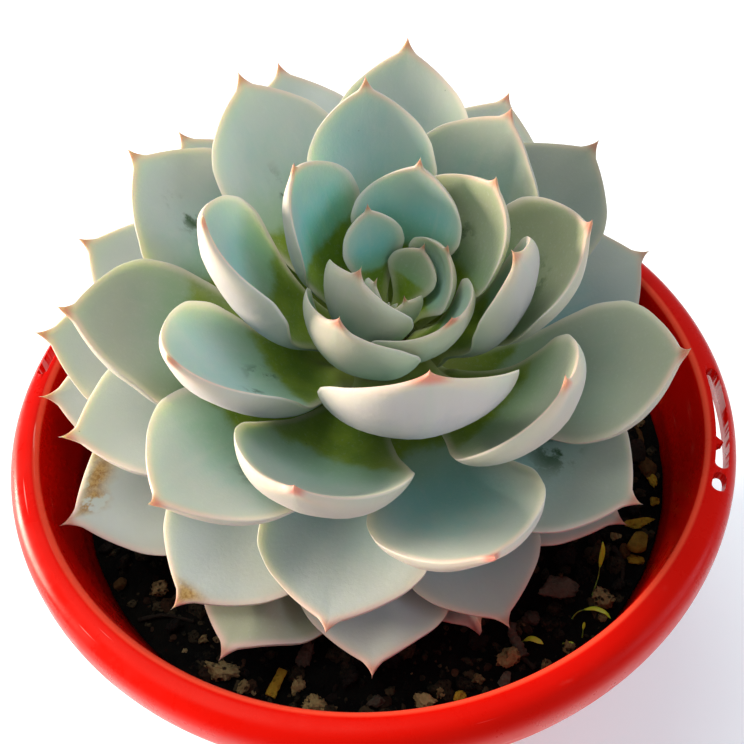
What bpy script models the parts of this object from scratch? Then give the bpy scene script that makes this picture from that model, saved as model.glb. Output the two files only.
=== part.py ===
"""Rosette succulent growing in a round plastic pot. Units are millimetres in the
constants below and metres in the objects. Origin: centre of the pot's base, +Z up."""
import math

import bmesh
import bpy
import numpy as np

for stale in list(bpy.data.objects):
    bpy.data.objects.remove(stale, do_unlink=True)

MM = 0.001

# ------------------------------------------------------------------ sizes, mm
POT_H = 118.0            # overall height of the pot
RIM_R = 80.0             # outside radius of the rim skirt
RIM_Z = 110.0            # bottom edge of the rim skirt
SOIL_Z = 95.0            # mean level of the soil
STEM_FOOT = (3.0, 9.0)   # where the stem leaves the soil
LEAN, LEAN_AZ = math.radians(16.0), math.radians(-80.0)   # stem leans to the light
SWAY, SWAY_AZ = math.radians(6.0), math.radians(110.0)    # old leaves: raised behind, sagging in front
PIVOT = 104.0            # height on the plant axis that the half-plane angles are taken about
GAP = 0.60               # room kept between a leaf and the one inside it

# ------------------------------------------------------------------ leaf table
# age level (1 = youngest), azimuth deg, length mm, width mm, extra lift deg, extra curl deg, roll deg
LEAVES = [
    (1, 205, 15, 8, 7, 5, 0),
    (2, 298, 15, 10, 3, 5, 0),
    (3, 46, 16, 12, -4, -14, 0),
    (4, 106, 24, 14, -3, -4, 0),
    (5, 18, 22, 17, 0, 0, 0),
    (6, 224, 30, 23, 5, 18, 5),
    (7, 306, 27, 26, 1, -3, -4),
    (8, 70, 33, 28, -1, -5, -4),
    (9, 236, 33, 28, 1, 9, 0),
    (10, 31, 37, 29, 0, 0, -3),
    (11, 139, 40, 28, 3, 4, 20),
    (12, 276, 49, 34, -5, 23, -3),
    (13, 346, 42, 22, -2, 36, -26),
    (14, 181, 51, 31, 3, 11, 22),
    (15, 94, 48, 33, 0, 0, -4),
    (16, 210, 52, 32, -4, 9, 18),
    (17, 5, 46, 33, 1, 12, -12),
    (18, 51, 48, 33, 0, 0, -14),
    (19, 248, 57, 33, -4, 25, 4),
    (20, 312, 53, 32, -2, 42, 6),
    (21, 122, 57, 33, -1, 0, -6),
    (22, 82, 58, 34, 1, 0, -2),
    (23, 224, 56, 34, 0, 0, 7),
    (24, 283, 57, 32, -3, 28, 3),
    (25, 184, 60, 33, 0, 6, 10),
    (26, 147, 60, 34, 1, 0, 2),
    (27, 37, 57, 34, 0, 0, -2),
    (28, 342, 58, 32, -4, 38, -4),
    (29, 199, 59, 33, -3, -4, 16),
    (30, 256, 52, 33, 2, -4, 6),
    (31, 318, 52, 33, 1, 6, -4),
    (32, 178, 64, 34, -3, -4, 0),
    (33, 107, 67, 34, 0, -3, -2),
    (34, 61, 64, 34, 0, -3, 2),
    (35, 231, 58, 33, 1, 0, 8),
    (36, 20, 59, 33, -4, -4, 2),
    (37, 288, 52, 29, 2, 4, 0),
    (38, 157, 65, 33, 0, -2, -2),
    (39, 130, 64, 33, 3, 3, 0),
    (40, 207, 65, 33, 0, -3, 0),
    (41, 264, 57, 31, 3, 11, 9),
    (42, 86, 58, 31, 0, 0, 0),
    (43, 183, 66, 33, -3, -2, -2),
    (44, 319, 52, 30, 4, 10, -5),
    (45, 241, 62, 30, 7, 11, 13),
    (46, 41, 54, 29, 0, 0, 0),
    (47, 131, 54, 29, 1, 0, 0),
    (48, 284, 51, 27, 14, 10, 0),
]


# ------------------------------------------------------------------ helpers
def ease(x, xs, ys):
    """Smooth curve through a few knots, without overshoot."""
    xs, ys = np.asarray(xs, float), np.asarray(ys, float)
    d = np.diff(ys) / np.diff(xs)
    m = np.zeros(len(xs))
    m[0], m[-1] = d[0], d[-1]
    for i in range(1, len(xs) - 1):
        if d[i - 1] * d[i] > 0:
            m[i] = 2 * d[i - 1] * d[i] / (d[i - 1] + d[i])
    x = np.clip(x, xs[0], xs[-1])
    k = np.clip(np.searchsorted(xs, x, side="right") - 1, 0, len(xs) - 2)
    h = xs[k + 1] - xs[k]
    t = (x - xs[k]) / h
    return ((2 * t**3 - 3 * t**2 + 1) * ys[k] + (t**3 - 2 * t**2 + t) * h * m[k]
            + (-2 * t**3 + 3 * t**2) * ys[k + 1] + (t**3 - t**2) * h * m[k + 1])


# rules by age level
def base_r(n):
    return 1.2 + 6.8 * (1 - math.exp(-n / 9.0))


def base_z(n):
    return 110.0 + 30.5 - 0.62 * n - 1.5 * (1 - math.exp(-n / 5.0))


def chord_rise(n):
    return float(ease(n, [0, 4, 8, 12, 16, 20, 24, 30, 38, 50], [78, 72, 66, 57, 47, 38, 29, 19, 10, 3]))


def curl(n):
    return float(ease(n, [0, 6, 13, 20, 30, 40, 50], [20, 36, 46, 40, 26, 16, 10]))


def cup(n):
    k = float(ease(n, [0, 8, 14, 20, 26, 34, 50], [.100, .080, .066, .048, .032, .020, .012]))
    return k * 0.55 if n == 12 else k


def outline(s):
    return ease(s, [0, .18, .38, .56, .68, .78, .86, .925, .97, 1.0], [.25, .35, .62, .90, 1.0, .96, .80, .54, .31, .13])


FULL = {12: 0.62, 7: 0.80, 9: 0.85, 13: 0.80, 16: 0.90, 8: 1.25, 15: 1.12}   # < 1: squarer shoulders, > 1: more pointed


def shape(n, s):
    return outline(s)**FULL.get(n, 1.0)


def flesh(s):
    return ease(s, [0, .25, .6, .85, 1.0], [.62, .90, 1.0, .85, .30])


def thickness(length):
    return 0.8 + 0.060 * length


def midrib(leaf, s):
    n, _, length, _, lift, more, _ = leaf
    ku = curl(n) + more
    al = chord_rise(n) - 0.435 * curl(n) + lift
    ss = np.linspace(0, 1.2, 121)
    th = np.radians(al + ku * ss**1.3)
    step = length * (ss[1] - ss[0])
    dr, dz = np.cos(th) * step, np.sin(th) * step
    r = base_r(n) + np.r_[0, np.cumsum((dr[1:] + dr[:-1]) / 2)]
    z = base_z(n) + np.r_[0, np.cumsum((dz[1:] + dz[:-1]) / 2)]
    return np.interp(s, ss, r), np.interp(s, ss, z), np.interp(s, ss, th)


def polar(p):
    r, h = np.hypot(p[..., 0], p[..., 1]), p[..., 2] - PIVOT
    return np.arctan2(p[..., 1], p[..., 0]), np.hypot(r, h), np.arctan2(h, r)


def unpolar(a, rho, psi):
    r = rho * np.cos(psi)
    return np.stack([r * np.cos(a), r * np.sin(a), rho * np.sin(psi) + PIVOT], -1)


def skin(leaf, s, v, side):
    """Points of a leaf in the upright plant frame. s: 0 base to 1 tip, v: -1..1 across,
    side: +1 upper face, -1 lower face, 0 on the margin surface between them."""
    n, az, length, width, _, _, roll = leaf
    s, v = np.broadcast_arrays(np.asarray(s, float), np.asarray(v, float))
    r, z, th = midrib(leaf, s)
    k = cup(n)
    y = width / 2 * shape(n, np.clip(s, 0, 1)) * v
    ang = np.clip(y * k, -1.5, 1.5)
    lat, nor = np.sin(ang) / k, (1 - np.cos(ang)) / k
    t = thickness(length) * flesh(np.clip(s, 0, 1))
    nor = nor + (0.22 * t * np.clip(1 - np.abs(v)**2.4, 0, 1) if side > 0 else
                 -0.78 * t * np.sqrt(np.clip(1 - np.abs(v)**4.5, 0, 1)) if side < 0 else 0)
    q = np.radians(roll) * s
    lat, nor = lat * np.cos(q) - nor * np.sin(q), lat * np.sin(q) + nor * np.cos(q)
    x, h = r - np.sin(th) * nor, z + np.cos(th) * nor
    a = math.radians(az)
    p = np.stack([x * math.cos(a) - lat * math.sin(a), x * math.sin(a) + lat * math.cos(a), h], -1)
    # sway of the whole crown
    a, rho, psi = polar(p)
    g = np.clip((np.pi / 2 - psi) / (np.pi / 2), 0, 1.25)
    g = np.where(g < 1, np.sin(np.clip(g, 0, 1) * np.pi / 2)**1.3, 1.0)
    return unpolar(a, rho, psi + SWAY * np.cos(a - SWAY_AZ) * g)


S_GRID, V_GRID = np.linspace(0, 1, 41), np.linspace(-1, 1, 25)


def spread(e, grow, soften):
    for _ in range(grow):
        q = np.pad(e, 1, mode="edge")
        e = np.max([q[i:i + e.shape[0], j:j + e.shape[1]] for i in range(3) for j in range(3)], axis=0)
    for _ in range(soften):
        q = np.pad(e, 1, mode="edge")
        e = (q[:-2, 1:-1] + 2 * q[1:-1, 1:-1] + q[2:, 1:-1]) / 4
        q = np.pad(e, 1, mode="edge")
        e = (q[1:-1, :-2] + 2 * q[1:-1, 1:-1] + q[1:-1, 2:]) / 4
    return e


def lookup(grid, s, v):
    """Bilinear value of a S_GRID x V_GRID table."""
    x = np.clip(s, 0, 1) * (len(S_GRID) - 1)
    y = (np.clip(v, -1, 1) + 1) / 2 * (len(V_GRID) - 1)
    i, j = np.minimum(x.astype(int), len(S_GRID) - 2), np.minimum(y.astype(int), len(V_GRID) - 2)
    fx, fy = x - i, y - j
    return (grid[i, j] * (1 - fx) * (1 - fy) + grid[i + 1, j] * fx * (1 - fy)
            + grid[i, j + 1] * (1 - fx) * fy + grid[i + 1, j + 1] * fx * fy)


def settle():
    """Work outwards from the youngest leaf: each leaf is eased down, as an angle about PIVOT,
    until it clears everything inside it. Returns one S_GRID x V_GRID table of angles per leaf."""
    na, nr = 720, 110
    floor = np.full((na, nr), 9.0)
    out = []
    s, v = np.meshgrid(S_GRID, V_GRID, indexing="ij")
    sf, vf = np.meshgrid(np.linspace(0, 1, 161), np.linspace(-1, 1, 97), indexing="ij")
    for leaf in LEAVES:
        sink = np.zeros(s.shape)
        a, rho, psi = polar(skin(leaf, s, v, 1))
        ia, ir = np.floor(a / (2 * np.pi) * na).astype(int) % na, np.clip(rho.astype(int), 0, nr - 1)
        for _ in range(3):
            need = np.clip(psi - sink - (floor[ia, ir] - GAP / rho), 0, None)
            if need.max() <= 0:
                break
            sink = sink + spread(need, 2, 3)
        out.append(sink)
        a, rho, psi = polar(skin(leaf, sf, vf, -1))
        psi = psi - lookup(sink, sf, vf)
        ia, ir = np.floor(a / (2 * np.pi) * na).astype(int), np.clip(rho.astype(int), 1, nr - 2)
        for da in (-1, 0, 1):
            for dr in (-1, 0, 1):
                np.minimum.at(floor, ((ia + da) % na, ir + dr), psi)
    return out


def lean(p):
    """Tip the upright plant frame over and stand it on its foot."""
    k = np.array([-math.sin(LEAN_AZ), math.cos(LEAN_AZ), 0.0])
    c, s = math.cos(LEAN), math.sin(LEAN)
    q = p - np.array([0, 0, SOIL_Z])
    q = q * c + np.cross(np.broadcast_to(k, q.shape), q) * s + (q @ k)[..., None] * k * (1 - c)
    return q + np.array([STEM_FOOT[0], STEM_FOOT[1], SOIL_Z])


def leaf_point(leaf, sink, s, v, side):
    p = skin(leaf, s, v, side)
    a, rho, psi = polar(p)
    s, v = np.broadcast_arrays(np.asarray(s, float), np.asarray(v, float))
    return lean(unpolar(a, rho, psi - lookup(sink, s, v)))


def leaf_mesh(leaf, sink, rows, nv):
    """Closed triangle mesh: rings across the leaf joined to a point at the tip."""
    v = np.linspace(-1, 1, nv + 1)
    ring_v = np.r_[v, v[1:-1][::-1]]
    s = np.asarray(rows, float)[:, None]
    up = leaf_point(leaf, sink, s, v[None, :], 1)
    lo = leaf_point(leaf, sink, s, v[1:-1][::-1][None, :], -1)
    ring = np.concatenate([up, lo], axis=1)
    nr = len(ring_v)
    point = 1.0 + (1.5 + 0.035 * leaf[2]) / leaf[2]
    tip = leaf_point(leaf, sink, np.array([[point]]), np.array([[0.0]]), 0)[0]
    verts = np.concatenate([ring.reshape(-1, 3), tip])
    faces = []
    ns = len(rows)
    for i in range(ns - 1):
        for j in range(nr):
            a, b = i * nr + j, i * nr + (j + 1) % nr
            c, d = a + nr, b + nr
            faces += [(a, c, b), (b, c, d)]
    t = ns * nr
    for j in range(nr):
        faces.append(((ns - 1) * nr + j, t, (ns - 1) * nr + (j + 1) % nr))
    upper = list(range(nv + 1))
    lower = [0] + list(range(nr - 1, nv, -1)) + [nv]
    for j in range(nv):
        a, b, c, d = upper[j], upper[j + 1], lower[j], lower[j + 1]
        if a != c:
            faces.append((a, b, c))
        if b != d:
            faces.append((b, d, c))
    return verts, faces


# ------------------------------------------------------------------ turned and joined solids
def material(name, colour, rough, coat=0.0):
    m = bpy.data.materials.new(name)
    m.use_nodes = True
    b = m.node_tree.nodes["Principled BSDF"]
    b.inputs["Base Color"].default_value = (*colour, 1.0)
    b.inputs["Roughness"].default_value = rough
    b.inputs["Coat Weight"].default_value = coat
    m.diffuse_color = (*colour, 1.0)
    return m


def add(name, verts, faces, mat):
    me = bpy.data.meshes.new(name)
    me.from_pydata([tuple(float(c) * MM for c in v) for v in verts], [], [tuple(int(i) for i in f) for f in faces])
    me.update()
    bm = bmesh.new()
    bm.from_mesh(me)
    bmesh.ops.recalc_face_normals(bm, faces=bm.faces)
    bm.to_mesh(me)
    bm.free()
    for p in me.polygons:
        p.use_smooth = True
    ob = bpy.data.objects.new(name, me)
    bpy.context.scene.collection.objects.link(ob)
    me.materials.append(mat)
    return ob


def cut(target, cutter):
    cutter.hide_render = True
    cutter.display_type = "WIRE"
    b = target.modifiers.new("cut_" + cutter.name, "BOOLEAN")
    b.operation = "DIFFERENCE"
    b.solver = "EXACT"
    b.object = cutter


def bake(ob, *cutters):
    """Apply the cuts so the object is one plain closed mesh."""
    deps = bpy.context.evaluated_depsgraph_get()
    me = bpy.data.meshes.new_from_object(ob.evaluated_get(deps))
    old = ob.data
    ob.modifiers.clear()
    ob.data = me
    bpy.data.meshes.remove(old)
    for c in cutters:
        bpy.data.objects.remove(c, do_unlink=True)
    for p in ob.data.polygons:
        p.use_smooth = True


def revolve(profile, segments):
    """Closed solid from an (r, z) outline that is itself closed; r = 0 points become poles."""
    verts, rows = [], []
    for r, z in profile:
        if r <= 1e-6:
            rows.append([len(verts)])
            verts.append((0, 0, z))
        else:
            rows.append(list(range(len(verts), len(verts) + segments)))
            for k in range(segments):
                a = 2 * math.pi * k / segments
                verts.append((r * math.cos(a), r * math.sin(a), z))
    faces = []
    for i in range(len(rows) - 1):
        a, b = rows[i], rows[i + 1]
        for k in range(segments):
            k2 = (k + 1) % segments
            if len(a) == 1 and len(b) > 1:
                faces.append((a[0], b[k], b[k2]))
            elif len(b) == 1 and len(a) > 1:
                faces.append((a[k], b[0], a[k2]))
            elif len(a) > 1:
                faces.append((a[k], b[k], b[k2], a[k2]))
    return verts, faces


def arc_slab(r0, r1, a0, a1, z0, z1, nib=None, steps=14):
    """Curved slot cutter between two radii, ends rounded; nib = angle of a small tooth left standing."""
    mid, half = (r0 + r1) / 2, (r1 - r0) / 2
    outer, inner = [], []
    for k in range(steps + 1):
        a = a0 + (a1 - a0) * k / steps
        outer.append((r1, a))
        inner.append((r0, a))
    loop = [(r * math.cos(math.radians(a)), r * math.sin(math.radians(a))) for r, a in outer]

    def cap(a, sign):
        c = (mid * math.cos(math.radians(a)), mid * math.sin(math.radians(a)))
        er = (math.cos(math.radians(a)), math.sin(math.radians(a)))
        et = (-er[1] * sign, er[0] * sign)
        pts = []
        for k in range(1, 4):
            q = math.pi * k / 4
            pts.append((c[0] + half * (math.cos(q) * er[0] + math.sin(q) * et[0]),
                        c[1] + half * (math.cos(q) * er[1] + math.sin(q) * et[1])))
        return pts

    loop += cap(a1, 1)
    back = inner[::-1]
    for r, a in back:
        if nib is not None and abs(a - nib) < abs(a1 - a0) / steps * 0.55:
            for da, dr in ((0.7, 0.0), (0.0, 1.1), (-0.7, 0.0)):
                q = math.radians(a + da)
                loop.append(((r + dr) * math.cos(q), (r + dr) * math.sin(q)))
        else:
            q = math.radians(a)
            loop.append((r * math.cos(q), r * math.sin(q)))
    loop += cap(a0, -1)[::-1]
    n = len(loop)
    verts = [(x, y, z0) for x, y in loop] + [(x, y, z1) for x, y in loop]
    faces = [tuple(range(n))[::-1], tuple(range(n, 2 * n))]
    faces += [(k, (k + 1) % n, n + (k + 1) % n, n + k) for k in range(n)]
    return verts, faces


# ------------------------------------------------------------------ pot
POT_PROFILE = [
    (0, 0), (55.4, 0), (56.8, 0.5), (57.6, 1.8), (63.6, 40.0), (69.6, 80.0), (72.9, 101.0), (73.8, 108.5),
    (74.2, 113.0), (74.8, 115.0), (76.0, 115.7), (77.2, 114.8), (77.9, 112.5), (78.2, 110.1), (79.4, 109.9),
    (80.0, 110.7), (79.9, 113.6), (79.2, 115.9), (77.8, 117.4), (76.0, 118.0), (74.2, 118.0), (73.1, 117.5),
    (72.7, 116.5), (71.9, 109.0), (70.5, 97.0), (67.4, 80.0), (61.4, 40.0), (56.4, 5.0), (54.6, 3.0), (0, 3.0)]


def inner_wall(z):
    return float(np.interp(z, [3.0, 5.0, 40.0, 80.0, 97.0, 109.0, 116.5], [54.6, 56.4, 61.4, 67.4, 70.5, 71.9, 72.7]))


def build_pot():
    verts, faces = revolve(POT_PROFILE, 52)
    pot = add("pot", verts, faces, material("pot_red_plastic", (0.60, 0.010, 0.008), 0.28, 0.3))
    cutters = []
    for name, a0, a1, nib in (("slot_right_long", -24.6, -5.6, -19.0), ("slot_right_short", -28.6, -27.2, None),
                              ("slot_left", 152.0, 174.0, None)):
        v, f = arc_slab(74.6, 77.5, a0, a1, 113.2, 119.5, nib)
        c = add(name, v, f, pot.data.materials[0])
        cut(pot, c)
        cutters.append(c)
    bake(pot, *cutters)


# ------------------------------------------------------------------ soil
STEM_R = 6.6


def soil_top(x, y):
    """Uneven surface of the potting mix."""
    r = np.hypot(x, y)
    bumps = (0.55 * np.sin(0.31 * x + 0.8) * np.cos(0.27 * y - 0.4) + 0.40 * np.sin(0.62 * y + 0.23 * x + 2.1)
             + 0.25 * np.cos(0.91 * x - 0.55 * y + 0.5))
    edge = np.clip((r - 56) / 14, 0, 1)
    hollow = 3.0 * np.exp(-((x - 14)**2 + (y + 46)**2) / 20**2)
    return SOIL_Z - 1.0 + bumps * (1 - 0.6 * edge) + 1.2 * edge**2 - hollow


def build_soil():
    seg, rings = 40, [9, 18, 27, 36, 45, 54, 62, 67.4, 70.0]
    verts, faces = [(0, 0, float(soil_top(0, 0)))], []
    for r in rings:
        for k in range(seg):
            a = 2 * math.pi * (k + 0.5 * (rings.index(r) % 2)) / seg
            rr = r if r < 70 else inner_wall(SOIL_Z) - 0.35 - 0.25
            x, y = rr * math.cos(a), rr * math.sin(a)
            verts.append((x, y, float(soil_top(x, y))))
    for z in (80.0, 40.0, 5.2, 3.4):
        r = inner_wall(z) - 0.5 if z > 4 else 54.0
        for k in range(seg):
            a = 2 * math.pi * (k + 0.5 * ((len(rings) - 1) % 2)) / seg
            verts.append((r * math.cos(a), r * math.sin(a), z))
    rows = len(rings) + 4
    for k in range(seg):
        faces.append((0, 1 + k, 1 + (k + 1) % seg))
    for i in range(rows - 1):
        for k in range(seg):
            a, b = 1 + i * seg + k, 1 + i * seg + (k + 1) % seg
            c, d = a + seg, b + seg
            if i < len(rings) - 1 and i % 2 == 0:
                faces += [(a, c, b), (b, c, d)]
            elif i < len(rings) - 1:
                faces += [(a, c, d), (a, d, b)]
            else:
                faces.append((a, c, d, b))
    last = 1 + (rows - 1) * seg
    verts.append((0, 0, 3.4))
    for k in range(seg):
        faces.append((last + k, len(verts) - 1, last + (k + 1) % seg))
    soil = add("soil", verts, faces, material("potting_mix", (0.035, 0.025, 0.018), 0.95))
    v, f = revolve([(0, SOIL_Z - 7.4), (STEM_R + 0.5, SOIL_Z - 7.4), (STEM_R + 0.5, SOIL_Z + 6), (0, SOIL_Z + 6)], 20)
    v = [(x + STEM_FOOT[0], y + STEM_FOOT[1], z) for x, y, z in v]
    pocket = add("stem_pocket", v, f, soil.data.materials[0])
    cut(soil, pocket)
    bake(soil, pocket)


# ------------------------------------------------------------------ stem and bud
def build_stem():
    seg = 16
    rings = []
    for z, r in ((-7.0, STEM_R - 0.6), (-6.2, STEM_R), (0.0, STEM_R), (1.5, STEM_R - 0.2)):
        rings.append([(STEM_FOOT[0] + r * math.cos(2 * math.pi * k / seg),
                       STEM_FOOT[1] + r * math.sin(2 * math.pi * k / seg), SOIL_Z + z) for k in range(seg)])
    for z in (102.0, 108.0, 114.0, 120.0, 126.0, 131.0, 135.0):
        n = max((139.0 - z) / 0.62, 0.0)
        r = min(base_r(n) - 2.0, STEM_R - 0.4)
        ring = np.array([(r * math.cos(2 * math.pi * k / seg), r * math.sin(2 * math.pi * k / seg), z)
                         for k in range(seg)])
        rings.append([tuple(p) for p in lean(ring)])
    verts = [p for ring in rings for p in ring]
    faces = [tuple(range(seg))[::-1]]
    for i in range(len(rings) - 1):
        for k in range(seg):
            a, b = i * seg + k, i * seg + (k + 1) % seg
            faces += [(a, b, b + seg), (a, b + seg, a + seg)]
    top = (len(rings) - 1) * seg
    faces.append(tuple(range(top, top + seg)))
    add("stem", verts, faces, material("stem_green", (0.33, 0.40, 0.20), 0.7))


def build_bud():
    verts, faces = revolve([(0, 137.4), (0.55, 137.7), (0.85, 139.6), (0.95, 141.4), (0.75, 143.2), (0.35, 144.6),
                            (0, 145.4)], 10)
    p = lean(np.array(verts, float))
    add("bud", p, faces, material("bud_green", (0.42, 0.55, 0.36), 0.55))


# ------------------------------------------------------------------ loose pieces on the soil
STONES = [  # name, x, y, long, wide, high, turn deg, colour
    ("stone_olive", 55.6, -36.4, 6.0, 4.6, 3.6, 35, (0.26, 0.20, 0.07)),
    ("stone_porous", 44.6, -48.0, 5.6, 5.0, 3.4, -20, (0.50, 0.40, 0.27)),
    ("stone_grey", 36.4, -44.6, 9.2, 6.2, 3.8, 5, (0.30, 0.27, 0.24)),
    ("stone_tan", 24.0, -57.8, 6.0, 4.0, 3.2, 20, (0.45, 0.34, 0.20)),
    ("chip_bark", 62.6, -13.0, 8.0, 4.6, 2.8, 75, (0.16, 0.08, 0.04)),
]


def build_stones():
    for name, x, y, a, b, c, turn, colour in STONES:
        bm = bmesh.new()
        bmesh.ops.create_icosphere(bm, subdivisions=2, radius=1.0)
        seed = x * 0.37 + y * 0.91
        pts = []
        for v in bm.verts:
            d = v.co.normalized()
            w = 1 + 0.10 * math.sin(3.1 * d.x + seed) + 0.08 * math.sin(4.3 * d.y - seed) + 0.06 * math.cos(5.2 * d.z + seed)
            pts.append((d.x * w * a / 2, d.y * w * b / 2, d.z * w * c / 2))
        faces = [[q.index for q in f.verts] for f in bm.faces]
        bm.free()
        t = math.radians(turn)
        p = np.array(pts)
        p = np.c_[p[:, 0] * math.cos(t) - p[:, 1] * math.sin(t) + x, p[:, 0] * math.sin(t) + p[:, 1] * math.cos(t) + y,
                  p[:, 2]]
        p[:, 2] += float(np.max(soil_top(p[:, 0], p[:, 1]) - p[:, 2])) + 0.75
        add(name, p, faces, material(name + "_mat", colour, 0.9))


# ------------------------------------------------------------------ build
LEAF_ROWS = [0, .14, .29, .44, .58, .70, .80, .89, .96, 1.0]

build_pot()
build_soil()
build_stem()
build_bud()
build_stones()
for number, (leaf, sink) in enumerate(zip(LEAVES, settle()), 1):
    verts, faces = leaf_mesh(leaf, sink, LEAF_ROWS, 4)
    shade = (0.36 + 0.002 * leaf[0], 0.50, 0.42)
    add("leaf_%02d" % number, verts, faces, material("leaf_%02d_mat" % number, shade, 0.6))
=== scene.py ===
import math

import bmesh
import bpy
import numpy as np
from mathutils import Matrix, Vector


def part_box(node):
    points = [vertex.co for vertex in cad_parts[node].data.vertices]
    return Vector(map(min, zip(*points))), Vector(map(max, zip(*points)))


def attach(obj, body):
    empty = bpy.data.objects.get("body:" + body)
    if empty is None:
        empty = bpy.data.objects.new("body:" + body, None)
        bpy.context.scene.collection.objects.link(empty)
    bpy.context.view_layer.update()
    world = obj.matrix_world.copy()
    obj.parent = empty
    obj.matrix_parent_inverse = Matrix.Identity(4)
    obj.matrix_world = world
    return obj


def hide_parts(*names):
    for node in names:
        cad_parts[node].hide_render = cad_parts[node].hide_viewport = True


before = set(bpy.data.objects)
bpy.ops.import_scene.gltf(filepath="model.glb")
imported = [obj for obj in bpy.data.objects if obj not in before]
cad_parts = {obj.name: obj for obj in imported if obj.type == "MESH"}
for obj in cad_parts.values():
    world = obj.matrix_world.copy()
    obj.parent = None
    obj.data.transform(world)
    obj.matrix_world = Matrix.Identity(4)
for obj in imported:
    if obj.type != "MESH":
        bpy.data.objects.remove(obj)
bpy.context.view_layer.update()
MM = 0.001

# ====================================================================== the plant's design, as in the CAD
# ------------------------------------------------------------------ sizes, mm
POT_H = 118.0            # overall height of the pot
RIM_R = 80.0             # outside radius of the rim skirt
RIM_Z = 110.0            # bottom edge of the rim skirt
SOIL_Z = 95.0            # mean level of the soil
STEM_FOOT = (3.0, 9.0)   # where the stem leaves the soil
LEAN, LEAN_AZ = math.radians(16.0), math.radians(-80.0)   # stem leans to the light
SWAY, SWAY_AZ = math.radians(6.0), math.radians(110.0)    # old leaves: raised behind, sagging in front
PIVOT = 104.0            # height on the plant axis that the half-plane angles are taken about
GAP = 0.60               # room kept between a leaf and the one inside it

# ------------------------------------------------------------------ leaf table
# age level (1 = youngest), azimuth deg, length mm, width mm, extra lift deg, extra curl deg, roll deg
LEAVES = [
    (1, 205, 15, 8, 7, 5, 0),
    (2, 298, 15, 10, 3, 5, 0),
    (3, 46, 16, 12, -4, -14, 0),
    (4, 106, 24, 14, -3, -4, 0),
    (5, 18, 22, 17, 0, 0, 0),
    (6, 224, 30, 23, 5, 18, 5),
    (7, 306, 27, 26, 1, -3, -4),
    (8, 70, 33, 28, -1, -5, -4),
    (9, 236, 33, 28, 1, 9, 0),
    (10, 31, 37, 29, 0, 0, -3),
    (11, 139, 40, 28, 3, 4, 20),
    (12, 276, 49, 34, -5, 23, -3),
    (13, 346, 42, 22, -2, 36, -26),
    (14, 181, 51, 31, 3, 11, 22),
    (15, 94, 48, 33, 0, 0, -4),
    (16, 210, 52, 32, -4, 9, 18),
    (17, 5, 46, 33, 1, 12, -12),
    (18, 51, 48, 33, 0, 0, -14),
    (19, 248, 57, 33, -4, 25, 4),
    (20, 312, 53, 32, -2, 42, 6),
    (21, 122, 57, 33, -1, 0, -6),
    (22, 82, 58, 34, 1, 0, -2),
    (23, 224, 56, 34, 0, 0, 7),
    (24, 283, 57, 32, -3, 28, 3),
    (25, 184, 60, 33, 0, 6, 10),
    (26, 147, 60, 34, 1, 0, 2),
    (27, 37, 57, 34, 0, 0, -2),
    (28, 342, 58, 32, -4, 38, -4),
    (29, 199, 59, 33, -3, -4, 16),
    (30, 256, 52, 33, 2, -4, 6),
    (31, 318, 52, 33, 1, 6, -4),
    (32, 178, 64, 34, -3, -4, 0),
    (33, 107, 67, 34, 0, -3, -2),
    (34, 61, 64, 34, 0, -3, 2),
    (35, 231, 58, 33, 1, 0, 8),
    (36, 20, 59, 33, -4, -4, 2),
    (37, 288, 52, 29, 2, 4, 0),
    (38, 157, 65, 33, 0, -2, -2),
    (39, 130, 64, 33, 3, 3, 0),
    (40, 207, 65, 33, 0, -3, 0),
    (41, 264, 57, 31, 3, 11, 9),
    (42, 86, 58, 31, 0, 0, 0),
    (43, 183, 66, 33, -3, -2, -2),
    (44, 319, 52, 30, 4, 10, -5),
    (45, 241, 62, 30, 7, 11, 13),
    (46, 41, 54, 29, 0, 0, 0),
    (47, 131, 54, 29, 1, 0, 0),
    (48, 284, 51, 27, 14, 10, 0),
]


# ------------------------------------------------------------------ helpers
def ease(x, xs, ys):
    """Smooth curve through a few knots, without overshoot."""
    xs, ys = np.asarray(xs, float), np.asarray(ys, float)
    d = np.diff(ys) / np.diff(xs)
    m = np.zeros(len(xs))
    m[0], m[-1] = d[0], d[-1]
    for i in range(1, len(xs) - 1):
        if d[i - 1] * d[i] > 0:
            m[i] = 2 * d[i - 1] * d[i] / (d[i - 1] + d[i])
    x = np.clip(x, xs[0], xs[-1])
    k = np.clip(np.searchsorted(xs, x, side="right") - 1, 0, len(xs) - 2)
    h = xs[k + 1] - xs[k]
    t = (x - xs[k]) / h
    return ((2 * t**3 - 3 * t**2 + 1) * ys[k] + (t**3 - 2 * t**2 + t) * h * m[k]
            + (-2 * t**3 + 3 * t**2) * ys[k + 1] + (t**3 - t**2) * h * m[k + 1])


# rules by age level
def base_r(n):
    return 1.2 + 6.8 * (1 - math.exp(-n / 9.0))


def base_z(n):
    return 110.0 + 30.5 - 0.62 * n - 1.5 * (1 - math.exp(-n / 5.0))


def chord_rise(n):
    return float(ease(n, [0, 4, 8, 12, 16, 20, 24, 30, 38, 50], [78, 72, 66, 57, 47, 38, 29, 19, 10, 3]))


def curl(n):
    return float(ease(n, [0, 6, 13, 20, 30, 40, 50], [20, 36, 46, 40, 26, 16, 10]))


def cup(n):
    k = float(ease(n, [0, 8, 14, 20, 26, 34, 50], [.100, .080, .066, .048, .032, .020, .012]))
    return k * 0.55 if n == 12 else k


def outline(s):
    return ease(s, [0, .18, .38, .56, .68, .78, .86, .925, .97, 1.0], [.25, .35, .62, .90, 1.0, .96, .80, .54, .31, .13])


FULL = {12: 0.62, 7: 0.80, 9: 0.85, 13: 0.80, 16: 0.90, 8: 1.25, 15: 1.12}   # < 1: squarer shoulders, > 1: more pointed


def shape(n, s):
    return outline(s)**FULL.get(n, 1.0)


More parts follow.
